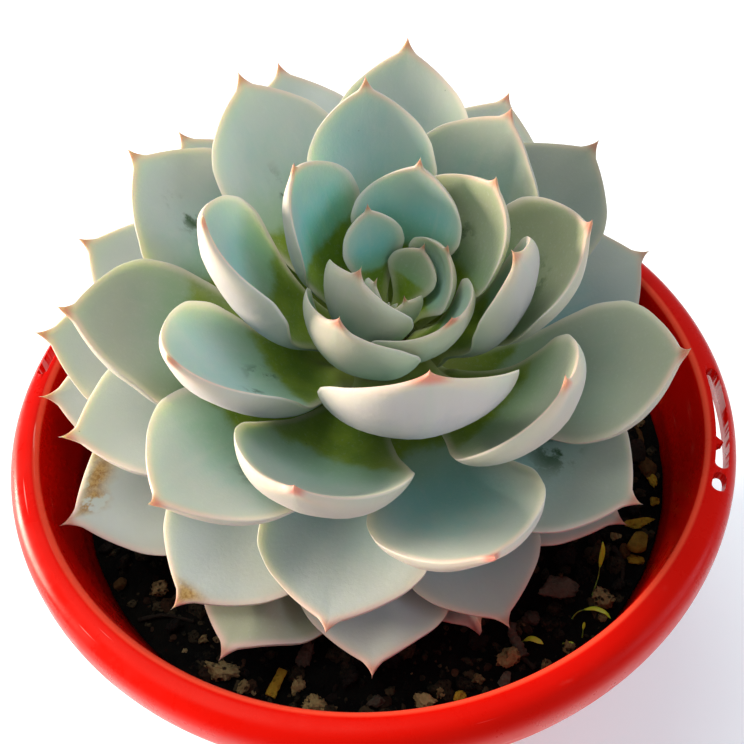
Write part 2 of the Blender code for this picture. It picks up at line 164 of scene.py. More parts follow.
def flesh(s):
    return ease(s, [0, .25, .6, .85, 1.0], [.62, .90, 1.0, .85, .30])


def thickness(length):
    return 0.8 + 0.060 * length


def midrib(leaf, s):
    n, _, length, _, lift, more, _ = leaf
    ku = curl(n) + more
    al = chord_rise(n) - 0.435 * curl(n) + lift
    ss = np.linspace(0, 1.2, 121)
    th = np.radians(al + ku * ss**1.3)
    step = length * (ss[1] - ss[0])
    dr, dz = np.cos(th) * step, np.sin(th) * step
    r = base_r(n) + np.r_[0, np.cumsum((dr[1:] + dr[:-1]) / 2)]
    z = base_z(n) + np.r_[0, np.cumsum((dz[1:] + dz[:-1]) / 2)]
    return np.interp(s, ss, r), np.interp(s, ss, z), np.interp(s, ss, th)


def polar(p):
    r, h = np.hypot(p[..., 0], p[..., 1]), p[..., 2] - PIVOT
    return np.arctan2(p[..., 1], p[..., 0]), np.hypot(r, h), np.arctan2(h, r)


def unpolar(a, rho, psi):
    r = rho * np.cos(psi)
    return np.stack([r * np.cos(a), r * np.sin(a), rho * np.sin(psi) + PIVOT], -1)


def skin(leaf, s, v, side):
    """Points of a leaf in the upright plant frame. s: 0 base to 1 tip, v: -1..1 across,
    side: +1 upper face, -1 lower face, 0 on the margin surface between them."""
    n, az, length, width, _, _, roll = leaf
    s, v = np.broadcast_arrays(np.asarray(s, float), np.asarray(v, float))
    r, z, th = midrib(leaf, s)
    k = cup(n)
    y = width / 2 * shape(n, np.clip(s, 0, 1)) * v
    ang = np.clip(y * k, -1.5, 1.5)
    lat, nor = np.sin(ang) / k, (1 - np.cos(ang)) / k
    t = thickness(length) * flesh(np.clip(s, 0, 1))
    nor = nor + (0.22 * t * np.clip(1 - np.abs(v)**2.4, 0, 1) if side > 0 else
                 -0.78 * t * np.sqrt(np.clip(1 - np.abs(v)**4.5, 0, 1)) if side < 0 else 0)
    q = np.radians(roll) * s
    lat, nor = lat * np.cos(q) - nor * np.sin(q), lat * np.sin(q) + nor * np.cos(q)
    x, h = r - np.sin(th) * nor, z + np.cos(th) * nor
    a = math.radians(az)
    p = np.stack([x * math.cos(a) - lat * math.sin(a), x * math.sin(a) + lat * math.cos(a), h], -1)
    # sway of the whole crown
    a, rho, psi = polar(p)
    g = np.clip((np.pi / 2 - psi) / (np.pi / 2), 0, 1.25)
    g = np.where(g < 1, np.sin(np.clip(g, 0, 1) * np.pi / 2)**1.3, 1.0)
    return unpolar(a, rho, psi + SWAY * np.cos(a - SWAY_AZ) * g)


S_GRID, V_GRID = np.linspace(0, 1, 41), np.linspace(-1, 1, 25)


def spread(e, grow, soften):
    for _ in range(grow):
        q = np.pad(e, 1, mode="edge")
        e = np.max([q[i:i + e.shape[0], j:j + e.shape[1]] for i in range(3) for j in range(3)], axis=0)
    for _ in range(soften):
        q = np.pad(e, 1, mode="edge")
        e = (q[:-2, 1:-1] + 2 * q[1:-1, 1:-1] + q[2:, 1:-1]) / 4
        q = np.pad(e, 1, mode="edge")
        e = (q[1:-1, :-2] + 2 * q[1:-1, 1:-1] + q[1:-1, 2:]) / 4
    return e


def lookup(grid, s, v):
    """Bilinear value of a S_GRID x V_GRID table."""
    x = np.clip(s, 0, 1) * (len(S_GRID) - 1)
    y = (np.clip(v, -1, 1) + 1) / 2 * (len(V_GRID) - 1)
    i, j = np.minimum(x.astype(int), len(S_GRID) - 2), np.minimum(y.astype(int), len(V_GRID) - 2)
    fx, fy = x - i, y - j
    return (grid[i, j] * (1 - fx) * (1 - fy) + grid[i + 1, j] * fx * (1 - fy)
            + grid[i, j + 1] * (1 - fx) * fy + grid[i + 1, j + 1] * fx * fy)


def settle():
    """Work outwards from the youngest leaf: each leaf is eased down, as an angle about PIVOT,
    until it clears everything inside it. Returns one S_GRID x V_GRID table of angles per leaf."""
    na, nr = 720, 110
    floor = np.full((na, nr), 9.0)
    out = []
    s, v = np.meshgrid(S_GRID, V_GRID, indexing="ij")
    sf, vf = np.meshgrid(np.linspace(0, 1, 161), np.linspace(-1, 1, 97), indexing="ij")
    for leaf in LEAVES:
        sink = np.zeros(s.shape)
        a, rho, psi = polar(skin(leaf, s, v, 1))
        ia, ir = np.floor(a / (2 * np.pi) * na).astype(int) % na, np.clip(rho.astype(int), 0, nr - 1)
        for _ in range(3):
            need = np.clip(psi - sink - (floor[ia, ir] - GAP / rho), 0, None)
            if need.max() <= 0:
                break
            sink = sink + spread(need, 2, 3)
        out.append(sink)
        a, rho, psi = polar(skin(leaf, sf, vf, -1))
        psi = psi - lookup(sink, sf, vf)
        ia, ir = np.floor(a / (2 * np.pi) * na).astype(int), np.clip(rho.astype(int), 1, nr - 2)
        for da in (-1, 0, 1):
            for dr in (-1, 0, 1):
                np.minimum.at(floor, ((ia + da) % na, ir + dr), psi)
    return out


def lean(p):
    """Tip the upright plant frame over and stand it on its foot."""
    k = np.array([-math.sin(LEAN_AZ), math.cos(LEAN_AZ), 0.0])
    c, s = math.cos(LEAN), math.sin(LEAN)
    q = p - np.array([0, 0, SOIL_Z])
    q = q * c + np.cross(np.broadcast_to(k, q.shape), q) * s + (q @ k)[..., None] * k * (1 - c)
    return q + np.array([STEM_FOOT[0], STEM_FOOT[1], SOIL_Z])


def leaf_point(leaf, sink, s, v, side):
    p = skin(leaf, s, v, side)
    a, rho, psi = polar(p)
    s, v = np.broadcast_arrays(np.asarray(s, float), np.asarray(v, float))
    return lean(unpolar(a, rho, psi - lookup(sink, s, v)))


def leaf_mesh(leaf, sink, rows, nv):
    """Closed triangle mesh: rings across the leaf joined to a point at the tip."""
    v = np.linspace(-1, 1, nv + 1)
    ring_v = np.r_[v, v[1:-1][::-1]]
    s = np.asarray(rows, float)[:, None]
    up = leaf_point(leaf, sink, s, v[None, :], 1)
    lo = leaf_point(leaf, sink, s, v[1:-1][::-1][None, :], -1)
    ring = np.concatenate([up, lo], axis=1)
    nr = len(ring_v)
    point = 1.0 + (1.5 + 0.035 * leaf[2]) / leaf[2]
    tip = leaf_point(leaf, sink, np.array([[point]]), np.array([[0.0]]), 0)[0]
    verts = np.concatenate([ring.reshape(-1, 3), tip])
    faces = []
    ns = len(rows)
    for i in range(ns - 1):
        for j in range(nr):
            a, b = i * nr + j, i * nr + (j + 1) % nr
            c, d = a + nr, b + nr
            faces += [(a, c, b), (b, c, d)]
    t = ns * nr
    for j in range(nr):
        faces.append(((ns - 1) * nr + j, t, (ns - 1) * nr + (j + 1) % nr))
    upper = list(range(nv + 1))
    lower = [0] + list(range(nr - 1, nv, -1)) + [nv]
    for j in range(nv):
        a, b, c, d = upper[j], upper[j + 1], lower[j], lower[j + 1]
        if a != c:
            faces.append((a, b, c))
        if b != d:
            faces.append((b, d, c))
    return verts, faces


# ====================================================================== noise
def hash01(ix, iy, iz, seed):
    h = (ix.astype(np.int64) * 374761393 + iy.astype(np.int64) * 668265263 + iz.astype(np.int64) * 2147483647
         + np.int64(seed) * 1274126177) & 0x7FFFFFFF
    h = ((h ^ (h >> 13)) * 1274126177) & 0x7FFFFFFF
    h = (h ^ (h >> 16)) & 0x7FFFFFFF
    return (h % 65521) / 65520.0


def noise3(p, seed=0):
    """Smooth value noise, -1..1, at points p (..., 3)."""
    p = np.asarray(p, float)
    b = np.floor(p)
    f = p - b
    f = f * f * f * (f * (f * 6 - 15) + 10)
    b = b.astype(np.int64)
    out = 0.0
    for dx in (0, 1):
        for dy in (0, 1):
            for dz in (0, 1):
                w = ((f[..., 0] if dx else 1 - f[..., 0]) * (f[..., 1] if dy else 1 - f[..., 1])
                     * (f[..., 2] if dz else 1 - f[..., 2]))
                out = out + w * hash01(b[..., 0] + dx, b[..., 1] + dy, b[..., 2] + dz, seed)
    return out * 2 - 1


def fbm(p, octaves=4, seed=0, gain=0.5):
    p = np.asarray(p, float)
    out, amp, tot = 0.0, 1.0, 0.0
    for k in range(octaves):
        out = out + amp * noise3(p * (2.0**k) + 17.3 * k, seed + k)
        tot += amp
        amp *= gain
    return out / tot


# ====================================================================== mesh helpers
def new_piece(name, verts, faces, mats, node=None, attrs=None, smooth=True):
    me = bpy.data.meshes.new(name)
    v = np.asarray(verts, float) * MM
    me.from_pydata(v.tolist(), [], [list(map(int, f)) for f in faces])
    me.update()
    for key, (kind, values) in (attrs or {}).items():
        a = me.attributes.new(key, kind, "POINT")
        values = np.asarray(values, np.float32)
        if kind == "FLOAT":
            a.data.foreach_set("value", values.ravel())
        elif kind == "FLOAT_VECTOR":
            a.data.foreach_set("vector", values.ravel())
        else:
            a.data.foreach_set("color", values.ravel())
    if smooth:
        me.polygons.foreach_set("use_smooth", np.ones(len(me.polygons), bool))
    ob = bpy.data.objects.new(name, me)
    bpy.context.scene.collection.objects.link(ob)
    for m in (mats if isinstance(mats, (list, tuple)) else [mats]):
        me.materials.append(m)
    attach(ob, "root")
    if node:
        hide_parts(*([node] if isinstance(node, str) else node))
    return ob


def face_out(ob):
    bm = bmesh.new()
    bm.from_mesh(ob.data)
    bmesh.ops.recalc_face_normals(bm, faces=bm.faces)
    bm.to_mesh(ob.data)
    bm.free()


# ====================================================================== material helpers
def lin(r, g, b):
    """sRGB 0..255 to linear."""
    out = []
    for c in (r, g, b):
        c = c / 255.0
        out.append(c / 12.92 if c <= 0.04045 else ((c + 0.055) / 1.055)**2.4)
    return (*out, 1.0)


class Nodes:
    """A small wrapper that keeps node graphs readable."""

    def __init__(self, name):
        self.mat = bpy.data.materials.new(name)
        self.mat.use_nodes = True
        self.t = self.mat.node_tree
        self.t.nodes.clear()
        self.out = self.t.nodes.new("ShaderNodeOutputMaterial")
        self.bsdf = self.t.nodes.new("ShaderNodeBsdfPrincipled")
        self.t.links.new(self.bsdf.outputs[0], self.out.inputs[0])

    def put(self, socket, value):
        if hasattr(value, "is_linked") or isinstance(value, bpy.types.NodeSocket):
            self.t.links.new(value, socket)
        elif value is not None:
            socket.default_value = value

    def set(self, **kw):
        for k, v in kw.items():
            self.put(self.bsdf.inputs[k.replace("_", " ")], v)

    def attr(self, name, out="Fac"):
        n = self.t.nodes.new("ShaderNodeAttribute")
        n.attribute_name = name
        return n.outputs[out]

    def xyz(self, vec):
        n = self.t.nodes.new("ShaderNodeSeparateXYZ")
        self.put(n.inputs[0], vec)
        return n.outputs[0], n.outputs[1], n.outputs[2]

    def coord(self):
        return self.t.nodes.new("ShaderNodeTexCoord").outputs["Object"]

    def mapping(self, vec, scale=(1, 1, 1), rot=(0, 0, 0), loc=(0, 0, 0)):
        n = self.t.nodes.new("ShaderNodeMapping")
        self.put(n.inputs["Vector"], vec)
        n.inputs["Scale"].default_value = scale
        n.inputs["Rotation"].default_value = rot
        n.inputs["Location"].default_value = loc
        return n.outputs[0]

    def noise(self, vec, scale, detail=4, rough=0.55, distortion=0.0, out=0):
        n = self.t.nodes.new("ShaderNodeTexNoise")
        self.put(n.inputs["Vector"], vec)
        self.put(n.inputs["Scale"], scale)
        n.inputs["Detail"].default_value = detail
        n.inputs["Roughness"].default_value = rough
        n.inputs["Distortion"].default_value = distortion
        return n.outputs[out]

    def voronoi(self, vec, scale, feature="F1", out="Distance", randomness=1.0):
        n = self.t.nodes.new("ShaderNodeTexVoronoi")
        n.feature = feature
        self.put(n.inputs["Vector"], vec)
        n.inputs["Scale"].default_value = scale
        n.inputs["Randomness"].default_value = randomness
        return n.outputs[out]

    def math(self, op, a, b=None, c=None, clamp=False):
        n = self.t.nodes.new("ShaderNodeMath")
        n.operation = op
        n.use_clamp = clamp
        self.put(n.inputs[0], a)
        self.put(n.inputs[1], b)
        if c is not None:
            self.put(n.inputs[2], c)
        return n.outputs[0]

    def ramp(self, fac, a, b, lo=0.0, hi=1.0, smooth=True):
        """Map fac from a..b to lo..hi, smoothly."""
        n = self.t.nodes.new("ShaderNodeMapRange")
        n.interpolation_type = "SMOOTHSTEP" if smooth else "LINEAR"
        self.put(n.inputs["Value"], fac)
        self.put(n.inputs["From Min"], a)
        self.put(n.inputs["From Max"], b)
        self.put(n.inputs["To Min"], lo)
        self.put(n.inputs["To Max"], hi)
        return n.outputs[0]

    def mix(self, fac, a, b, kind="MIX"):
        n = self.t.nodes.new("ShaderNodeMix")
        n.data_type = "RGBA"
        n.blend_type = kind
        n.clamp_factor = True
        self.put(n.inputs[0], fac)
        self.put(n.inputs[6], a)
        self.put(n.inputs[7], b)
        return n.outputs[2]

    def bump(self, height, strength=0.3, distance=0.001, normal=None):
        n = self.t.nodes.new("ShaderNodeBump")
        n.inputs["Strength"].default_value = strength
        n.inputs["Distance"].default_value = distance
        self.put(n.inputs["Height"], height)
        if normal is not None:
            self.put(n.inputs["Normal"], normal)
        return n.outputs[0]


# ====================================================================== leaves
def bspline(grid, s, v):
    """Smooth (cubic B-spline) value of a S_GRID x V_GRID table."""
    g = np.pad(grid, 2, mode="edge")
    x = np.clip(s, 0, 1) * (len(S_GRID) - 1)
    y = (np.clip(v, -1, 1) + 1) / 2 * (len(V_GRID) - 1)
    i, j = np.minimum(x.astype(int), len(S_GRID) - 2), np.minimum(y.astype(int), len(V_GRID) - 2)

    def w(t):
        return [(1 - t)**3 / 6, (3 * t**3 - 6 * t**2 + 4) / 6, (-3 * t**3 + 3 * t**2 + 3 * t + 1) / 6, t**3 / 6]

    wx, wy = w(x - i), w(y - j)
    return sum(wx[a] * wy[b] * g[i + a + 1, j + b + 1] for a in range(4) for b in range(4))


def fine_leaf(number, leaf, sink):
    n, az, length, width, _, _, roll = leaf
    rows = 44
    nv = 24
    point = 1.0 + (1.5 + 0.035 * length) / length
    s1 = 1 - (1 - np.linspace(0, 1, rows))**1.35
    s2 = 1.0 + (point - 1.0) * (np.arange(1, 10) / 10.0)
    s = np.r_[s1, s2][:, None]
    u = np.linspace(-1, 1, nv + 1)
    v = np.sin(u * np.pi / 2)
    ring = np.r_[v, v[1:-1][::-1]]
    side = np.r_[np.ones(nv + 1), -np.ones(nv - 1)]
    side[0] = side[nv] = 0
    s, v, side = np.broadcast_arrays(s, ring[None, :], side[None, :])

    r, z, th = midrib(leaf, s)
    k = cup(n)
    sc = np.clip(s, 0, 1)
    tip = np.clip((point - s) / (point - 1.0), 0, 1)           # 1 on the blade, down to 0 along the spine
    half = width / 2 * shape(number, sc) * np.where(s > 1, tip**1.7, 1.0)
    seed = 31 * number + 7
    # the margin is never quite even
    wave = 1 + 0.022 * noise3(np.stack([s * 5, np.sign(v) * 3.0 + seed, 0 * s], -1), 3) * np.clip(s * 3, 0, 1)
    y = half * v * wave
    ang = np.clip(y * k, -1.5, 1.5)
    lat, nor = np.sin(ang) / k, (1 - np.cos(ang)) / k
    t = thickness(length) * flesh(sc) * np.where(s > 1, 0.35 + 0.65 * tip, 1.0)
    # a spine keeps a round section
    t = np.minimum(t, np.where(s > 0.97, half * 1.7 + 0.16, t))
    w = np.clip(1 - np.abs(v)**2.4, 0, 1)
    edge = np.clip(1 - np.abs(v)**8, 0, 1)
    up_h = 0.22 * t * w + 0.13 * t * (edge - w)
    lo_h = -0.78 * t * np.sqrt(np.clip(1 - np.abs(v)**4.5, 0, 1))
    # faint keel below, shallow channel above, and gentle swellings
    keel = np.exp(-(v / 0.16)**2) * np.clip((sc - 0.25) * 2, 0, 1)
    lo_h = lo_h - 0.16 * keel * (t / 4.0)
    up_h = up_h - 0.10 * keel * (t / 4.0)
    q = np.stack([s * length / 11.0, y / 9.0, np.full_like(s, seed * 0.37)], -1)
    swell = 0.30 * noise3(q, 5) * np.clip(sc * 4, 0, 1) * (length / 60.0)
    nor = nor + np.where(side > 0, up_h, np.where(side < 0, lo_h, 0)) + swell * np.clip(tip * 1.0, 0, 1)
    qr = np.radians(roll) * s
    lat, nor = lat * np.cos(qr) - nor * np.sin(qr), lat * np.sin(qr) + nor * np.cos(qr)
    x, h = r - np.sin(th) * nor, z + np.cos(th) * nor
    a = math.radians(az)
    p = np.stack([x * math.cos(a) - lat * math.sin(a), x * math.sin(a) + lat * math.cos(a), h], -1)
    aa, rho, psi = polar(p)
    g = np.clip((np.pi / 2 - psi) / (np.pi / 2), 0, 1.25)
    g = np.where(g < 1, np.sin(np.clip(g, 0, 1) * np.pi / 2)**1.3, 1.0)
    psi = psi + SWAY * np.cos(aa - SWAY_AZ) * g - bspline(sink, s, v)
    p = lean(unpolar(aa, rho, psi))

    nr, ns = ring.size, s.shape[0]
    end = midrib(leaf, np.array([[point + 0.004]]))
    q = np.array([end[0][0, 0] * math.cos(a), end[0][0, 0] * math.sin(a), end[1][0, 0]])[None, None]
    aa, rho, psi = polar(q)
    g = np.clip((np.pi / 2 - psi) / (np.pi / 2), 0, 1.25)
    g = np.where(g < 1, np.sin(np.clip(g, 0, 1) * np.pi / 2)**1.3, 1.0)
    apex = lean(unpolar(aa, rho, psi + SWAY * np.cos(aa - SWAY_AZ) * g - bspline(sink, np.array([[1.0]]), np.array([[0.0]]))))[0]
    verts = np.concatenate([p.reshape(-1, 3), apex])
    i, j = np.meshgrid(np.arange(ns - 1), np.arange(nr), indexing="ij")
    a0 = i * nr + j
    b0 = i * nr + (j + 1) % nr
    quads = np.stack([b0, a0, a0 + nr, b0 + nr], -1).reshape(-1, 4)
    faces = quads.tolist()
    tipi = ns * nr
    faces += [[(ns - 1) * nr + j, tipi, (ns - 1) * nr + (j + 1) % nr] for j in range(nr)]
    upper = list(range(nv + 1))
    lower = [0] + list(range(nr - 1, nv, -1)) + [nv]
    for j in range(nv):
        f = [upper[j], upper[j + 1], lower[j + 1], lower[j]]
        f = list(dict.fromkeys(f))
        faces.append(f)
    data = np.stack([np.clip(s / point, 0, 1), v, side], -1).reshape(-1, 3)
    data = np.concatenate([data, [[1.0, 0.0, 0.0]]])
    return verts, faces, data


# ====================================================================== finishes
def leaf_material(name, young):
    n = Nodes(name)
    s, v, side = n.xyz(n.attr("leaf_a", "Vector"))
    edge, age, bound = n.xyz(n.attr("leaf_b", "Vector"))
    scar, rub, rnd = n.xyz(n.attr("leaf_c", "Vector"))
    painted_warm_light, shade_patch_amt, spine = n.xyz(n.attr("leaf_d", "Vector"))
    grain = n.attr("leaf_uv", "Vector")                      # millimetres along, across, and a seed
    absv = n.math("ABSOLUTE", v)

    broad = n.noise(n.mapping(grain, (0.055, 0.075, 1)), 1.0, 3, 0.5)
    streak = n.noise(n.mapping(grain, (0.05, 0.42, 1)), 1.0, 5, 0.6)
    cloud = n.noise(n.mapping(grain, (0.16, 0.20, 1)), 1.0, 5, 0.6)
    fine = n.noise(n.mapping(grain, (1.3, 1.3, 1)), 1.0, 4, 0.65)
    ragged = n.noise(n.mapping(grain, (0.20, 0.26, 1)), 1.0, 6, 0.60)

    # waxy bloom on the upper face: teal where it is thick, paler and greyer on older leaves
    shade_patch_teal, pale, grey = lin(124, 206, 200), lin(186, 212, 200), lin(206, 210, 200)
    face = n.mix(n.ramp(n.math("ADD", broad, n.math("MULTIPLY", age, 0.25)), 0.42, 0.74), lin(160, 206, 194), pale)
    older = n.ramp(n.math("ADD", age, n.math("MULTIPLY", n.math("SUBTRACT", cloud, 0.5), 0.40)), 0.12, 0.55)
    face = n.mix(n.math("MULTIPLY", older, 0.85), face, grey)
    # painted shade: a teal patch in the middle of the blade, its strength set per leaf
    mid = n.math("MULTIPLY", n.ramp(s, 0.25, 0.48), n.ramp(n.math("ADD", s, n.math("MULTIPLY", n.math("SUBTRACT", ragged, 0.5), 0.3)), 0.86, 0.52))
    mid = n.math("MULTIPLY", mid, n.ramp(absv, 1.0, 0.35))
    face = n.mix(n.math("MULTIPLY", mid, shade_patch_amt), face, shade_patch_teal)
    face = n.mix(n.math("MULTIPLY", n.ramp(streak, 0.50, 0.72), 0.25), face, lin(208, 216, 206))
    face = n.mix(n.math("MULTIPLY", n.ramp(s, 0.66, 0.97), 0.42), face, lin(200, 192, 178))
    # painted warm light: a yellow-olive cast on faces the warm lamp reaches, its strength set per leaf
    face = n.mix(n.math("MULTIPLY", painted_warm_light, 0.80), face, n.mix(broad, lin(150, 150, 84), lin(172, 166, 116)))
    # bare, sappy green towards the base with a ragged limit: partly the leaf's own colour, partly painted shade and
    # painted glow of light through the leaf in the crevices
    reach = n.math("ADD", s, n.math("MULTIPLY", n.math("SUBTRACT", n.math("ADD", n.math("MULTIPLY", ragged, 0.45), n.math("MULTIPLY", broad, 0.55)), 0.5), 0.24))
    reach = n.math("ADD", reach, n.math("MULTIPLY", n.math("POWER", absv, 2.0), -0.06))
    bare_and_shade = n.ramp(n.math("SUBTRACT", reach, bound), 0.036, -0.036)
    olive = n.mix(n.ramp(cloud, 0.35, 0.65), lin(124, 150, 8), lin(146, 166, 16))
    olive = n.mix(n.ramp(s, 0.30, 0.05), olive, lin(190, 196, 92))
    halo = n.ramp(n.math("SUBTRACT", reach, bound), 0.24, 0.0)
    face = n.mix(n.math("MULTIPLY", halo, 0.55), face, lin(146, 186, 118))
    face = n.mix(n.math("MULTIPLY", bare_and_shade, 0.93), face, olive)
    # places where the bloom was rubbed off
    face = n.mix(n.math("MULTIPLY", rub, n.ramp(ragged, 0.46, 0.58)), face, lin(70, 100, 62))
    # powder, flecks and dust
    face = n.mix(n.math("MULTIPLY", n.ramp(fine, 0.52, 0.78), 0.22), face, lin(214, 218, 208))
    speck = n.voronoi(n.mapping(grain, (0.11, 0.11, 1)), 1.0)
    face = n.mix(n.math("MULTIPLY", n.ramp(speck, 0.022, 0.012), 0.8), face, lin(84, 98, 70))

    # underside
    under = n.mix(n.ramp(broad, 0.35, 0.65), lin(128, 150, 136) if young else lin(138, 147, 162), lin(156, 168, 150) if young else lin(160, 165, 172))
    tipward = n.ramp(n.math("ADD", s, n.math("MULTIPLY", n.math("SUBTRACT", cloud, 0.5), 0.4)), 0.42, 0.92)
    under = n.mix(n.math("MULTIPLY", tipward, 0.70), under, lin(206, 190, 178))
    under = n.mix(n.math("MULTIPLY", n.ramp(streak, 0.45, 0.70), 0.20), under, lin(198, 192, 190))
    reach_u = n.math("ADD", s, n.math("MULTIPLY", n.math("SUBTRACT", ragged, 0.5), 0.25))
    under = n.mix(n.math("MULTIPLY", n.ramp(reach_u, 0.46 if young else 0.26, 0.24 if young else 0.08), 0.80), under, lin(150, 146, 52) if young else lin(158, 168, 84))
    under = n.mix(n.math("MULTIPLY", n.ramp(absv, 0.12, 0.0), 0.16), under, lin(170, 185, 160))
    # painted warm light on the underside, as on the upper face
    under = n.mix(n.math("MULTIPLY", painted_warm_light, 0.40), under, lin(182, 168, 112))
    is_under = n.ramp(side, 0.10, -0.25)
    body = n.mix(is_under, face, under)

    # soft pale border, then the rounded margin itself, a little pink towards the tip
    border = n.math("MULTIPLY", n.ramp(n.math("ADD", edge, n.math("MULTIPLY", n.math("SUBTRACT", broad, 0.5), 3.0)), 5.0, 0.4), n.ramp(s, 0.25, 0.6))
    body = n.mix(n.math("MULTIPLY", border, 0.34), body, lin(206, 198, 172))
    ed = n.math("ADD", edge, n.math("MULTIPLY", n.math("SUBTRACT", fine, 0.5), 0.9))
    rim = n.math("MULTIPLY", n.ramp(ed, 2.3, 0.1), n.ramp(side, -0.9, -0.2))
    rim_col = n.mix(n.ramp(broad, 0.40, 0.62), lin(238, 224, 200), lin(238, 216, 200))
    rim_col = n.mix(n.ramp(s, 0.45, 0.12), rim_col, lin(216, 216, 156))
    rim_col = n.mix(n.math("MULTIPLY", n.ramp(s, 0.78, 0.96), 0.35), rim_col, lin(236, 184, 164))
    rim_col = n.mix(n.math("MULTIPLY", n.ramp(s, 0.78, 0.96), n.math("MULTIPLY", rnd, 0.4)), rim_col, lin(232, 160, 144))
    body = n.mix(n.math("MULTIPLY", rim, 0.72), body, rim_col)
    blush = n.math("MULTIPLY", n.ramp(s, 0.88, 0.975), n.ramp(edge, 4.0, 0.3))
    body = n.mix(n.math("MULTIPLY", blush, 0.40), body, lin(232, 186, 166))
    tipc = n.mix(rnd, lin(214, 96, 82), lin(206, 128, 104))
    body = n.mix(n.math("MULTIPLY", n.ramp(spine, 0.0, 0.55), 0.80), body, tipc)
    body = n.mix(n.math("MULTIPLY", n.ramp(spine, 0.75, 1.0), 0.5), body, lin(150, 70, 54))

    # dry brown scars
    dry = n.math("MULTIPLY", scar, n.ramp(ragged, 0.40, 0.50))
    body = n.mix(dry, body, n.mix(n.ramp(fine, 0.35, 0.65), lin(158, 110, 40), lin(196, 156, 92)))

    # painted shade: whole leaves darkened one by one where they sit out of the light
    body = n.mix(n.ramp(n.attr("leaf_tone"), 1.0, 0.0, smooth=False), body, lin(52, 66, 62))
    h = n.math("ADD", n.math("MULTIPLY", fine, 0.5), n.math("MULTIPLY", cloud, 0.8))
    h = n.math("SUBTRACT", h, n.math("MULTIPLY", dry, 0.8))
    nrm = n.bump(h, 0.20, 0.0006)
    powder = n.noise(n.mapping(grain, (6, 6, 1)), 1.0, 2, 0.6)
    nrm = n.bump(powder, 0.10, 0.0001, nrm)
    rough = n.ramp(n.math("ADD", bare_and_shade, n.math("MULTIPLY", n.math("SUBTRACT", fine, 0.5), 0.3)), 0.0, 1.0, 0.60, 0.38)
    n.set(Base_Color=body, Roughness=rough, Normal=nrm)
    n.set(Subsurface_Weight=0.30 if young else 0.25, Subsurface_Scale=0.0050)
    n.bsdf.inputs["Subsurface Radius"].default_value = (0.75, 1.0, 0.35)
    n.set(Sheen_Weight=0.10, Sheen_Roughness=0.5)
    n.bsdf.inputs["Specular IOR Level"].default_value = 0.38
    return n.mat


def pot_material():
    n = Nodes("finish_pot_plastic")
    c = n.coord()
    x, y, z = n.xyz(c)
    wear = n.noise(c, 95, 6, 0.7)
    streak = n.noise(n.mapping(c, (26, 26, 420)), 1.0, 4, 0.6)
    mott = n.noise(c, 14, 4, 0.5)
    col = n.mix(n.ramp(mott, 0.35, 0.65), lin(206, 7, 0), lin(216, 10, 0))
    col = n.mix(n.math("MULTIPLY", n.ramp(wear, 0.62, 0.74), 0.30), col, lin(216, 24, 14))
    scuff = n.math("MULTIPLY", n.ramp(streak, 0.62, 0.72), n.ramp(wear, 0.50, 0.66))
    col = n.mix(n.math("MULTIPLY", scuff, 0.5), col, lin(238, 120, 104))
    # white line scratches that run round the rim
    ang = n.math("ARCTAN2", y, x)
    rad = n.math("SQRT", n.math("ADD", n.math("MULTIPLY", x, x), n.math("MULTIPLY", y, y)))
    comb = n.t.nodes.new("ShaderNodeCombineXYZ")
    n.put(comb.inputs[0], n.math("MULTIPLY", ang, 2.6))
    n.put(comb.inputs[1], n.math("MULTIPLY", rad, 1500.0))
    n.put(comb.inputs[2], n.math("MULTIPLY", z, 900.0))
    line = n.noise(comb.outputs[0], 1.0, 2, 0.5)
    # painted shade: the inner wall darkens to deep red just above the potting mix
    inside = n.math("MULTIPLY", n.ramp(rad, 0.0714, 0.0710), n.ramp(z, 0.0926, 0.0936))
    col = n.mix(n.math("MULTIPLY", inside, n.math("MULTIPLY", n.ramp(z, 0.1010, 0.0975), 0.55)), col, lin(96, 10, 6))
    lines = n.math("MULTIPLY", n.ramp(line, 0.69, 0.74), n.ramp(mott, 0.42, 0.56))
    col = n.mix(n.math("MULTIPLY", lines, 0.55), col, lin(250, 170, 160))
    # painted highlight: a thin light line along the inner edge of the rim
    lip_highlight = n.math("MULTIPLY", n.ramp(rad, 0.07405, 0.07345), n.ramp(z, 0.11675, 0.11735))
    col = n.mix(n.math("MULTIPLY", lip_highlight, 0.55), col, lin(252, 92, 62))
    rough = n.ramp(wear, 0.3, 0.75, 0.22, 0.42)
    hb = n.math("ADD", n.math("MULTIPLY", wear, 0.4), n.math("MULTIPLY", mott, 1.2))
    hb = n.math("SUBTRACT", hb, n.math("MULTIPLY", lines, 0.6))
    n.set(Base_Color=col, Roughness=rough, Normal=n.bump(hb, 0.10, 0.0006))
    n.bsdf.inputs["Specular IOR Level"].default_value = 0.16
    n.bsdf.inputs["Specular Tint"].default_value = (1.0, 0.46, 0.34, 1.0)
    n.set(Subsurface_Weight=0.05, Subsurface_Scale=0.002)
    return n.mat


def soil_material():
    n = Nodes("finish_potting_mix")
    c = n.coord()
    a = n.noise(c, 260, 8, 0.7)
    b = n.noise(c, 60, 4, 0.6)
    col = n.mix(n.ramp(a, 0.35, 0.70), lin(2, 2, 2), lin(15, 13, 10))
    col = n.mix(n.math("MULTIPLY", n.ramp(b, 0.50, 0.70), 0.35), col, lin(26, 22, 14))
    n.set(Base_Color=col, Roughness=0.93, Normal=n.bump(a, 1.0, 0.0020))
    n.bsdf.inputs["Specular IOR Level"].default_value = 0.10
    return n.mat


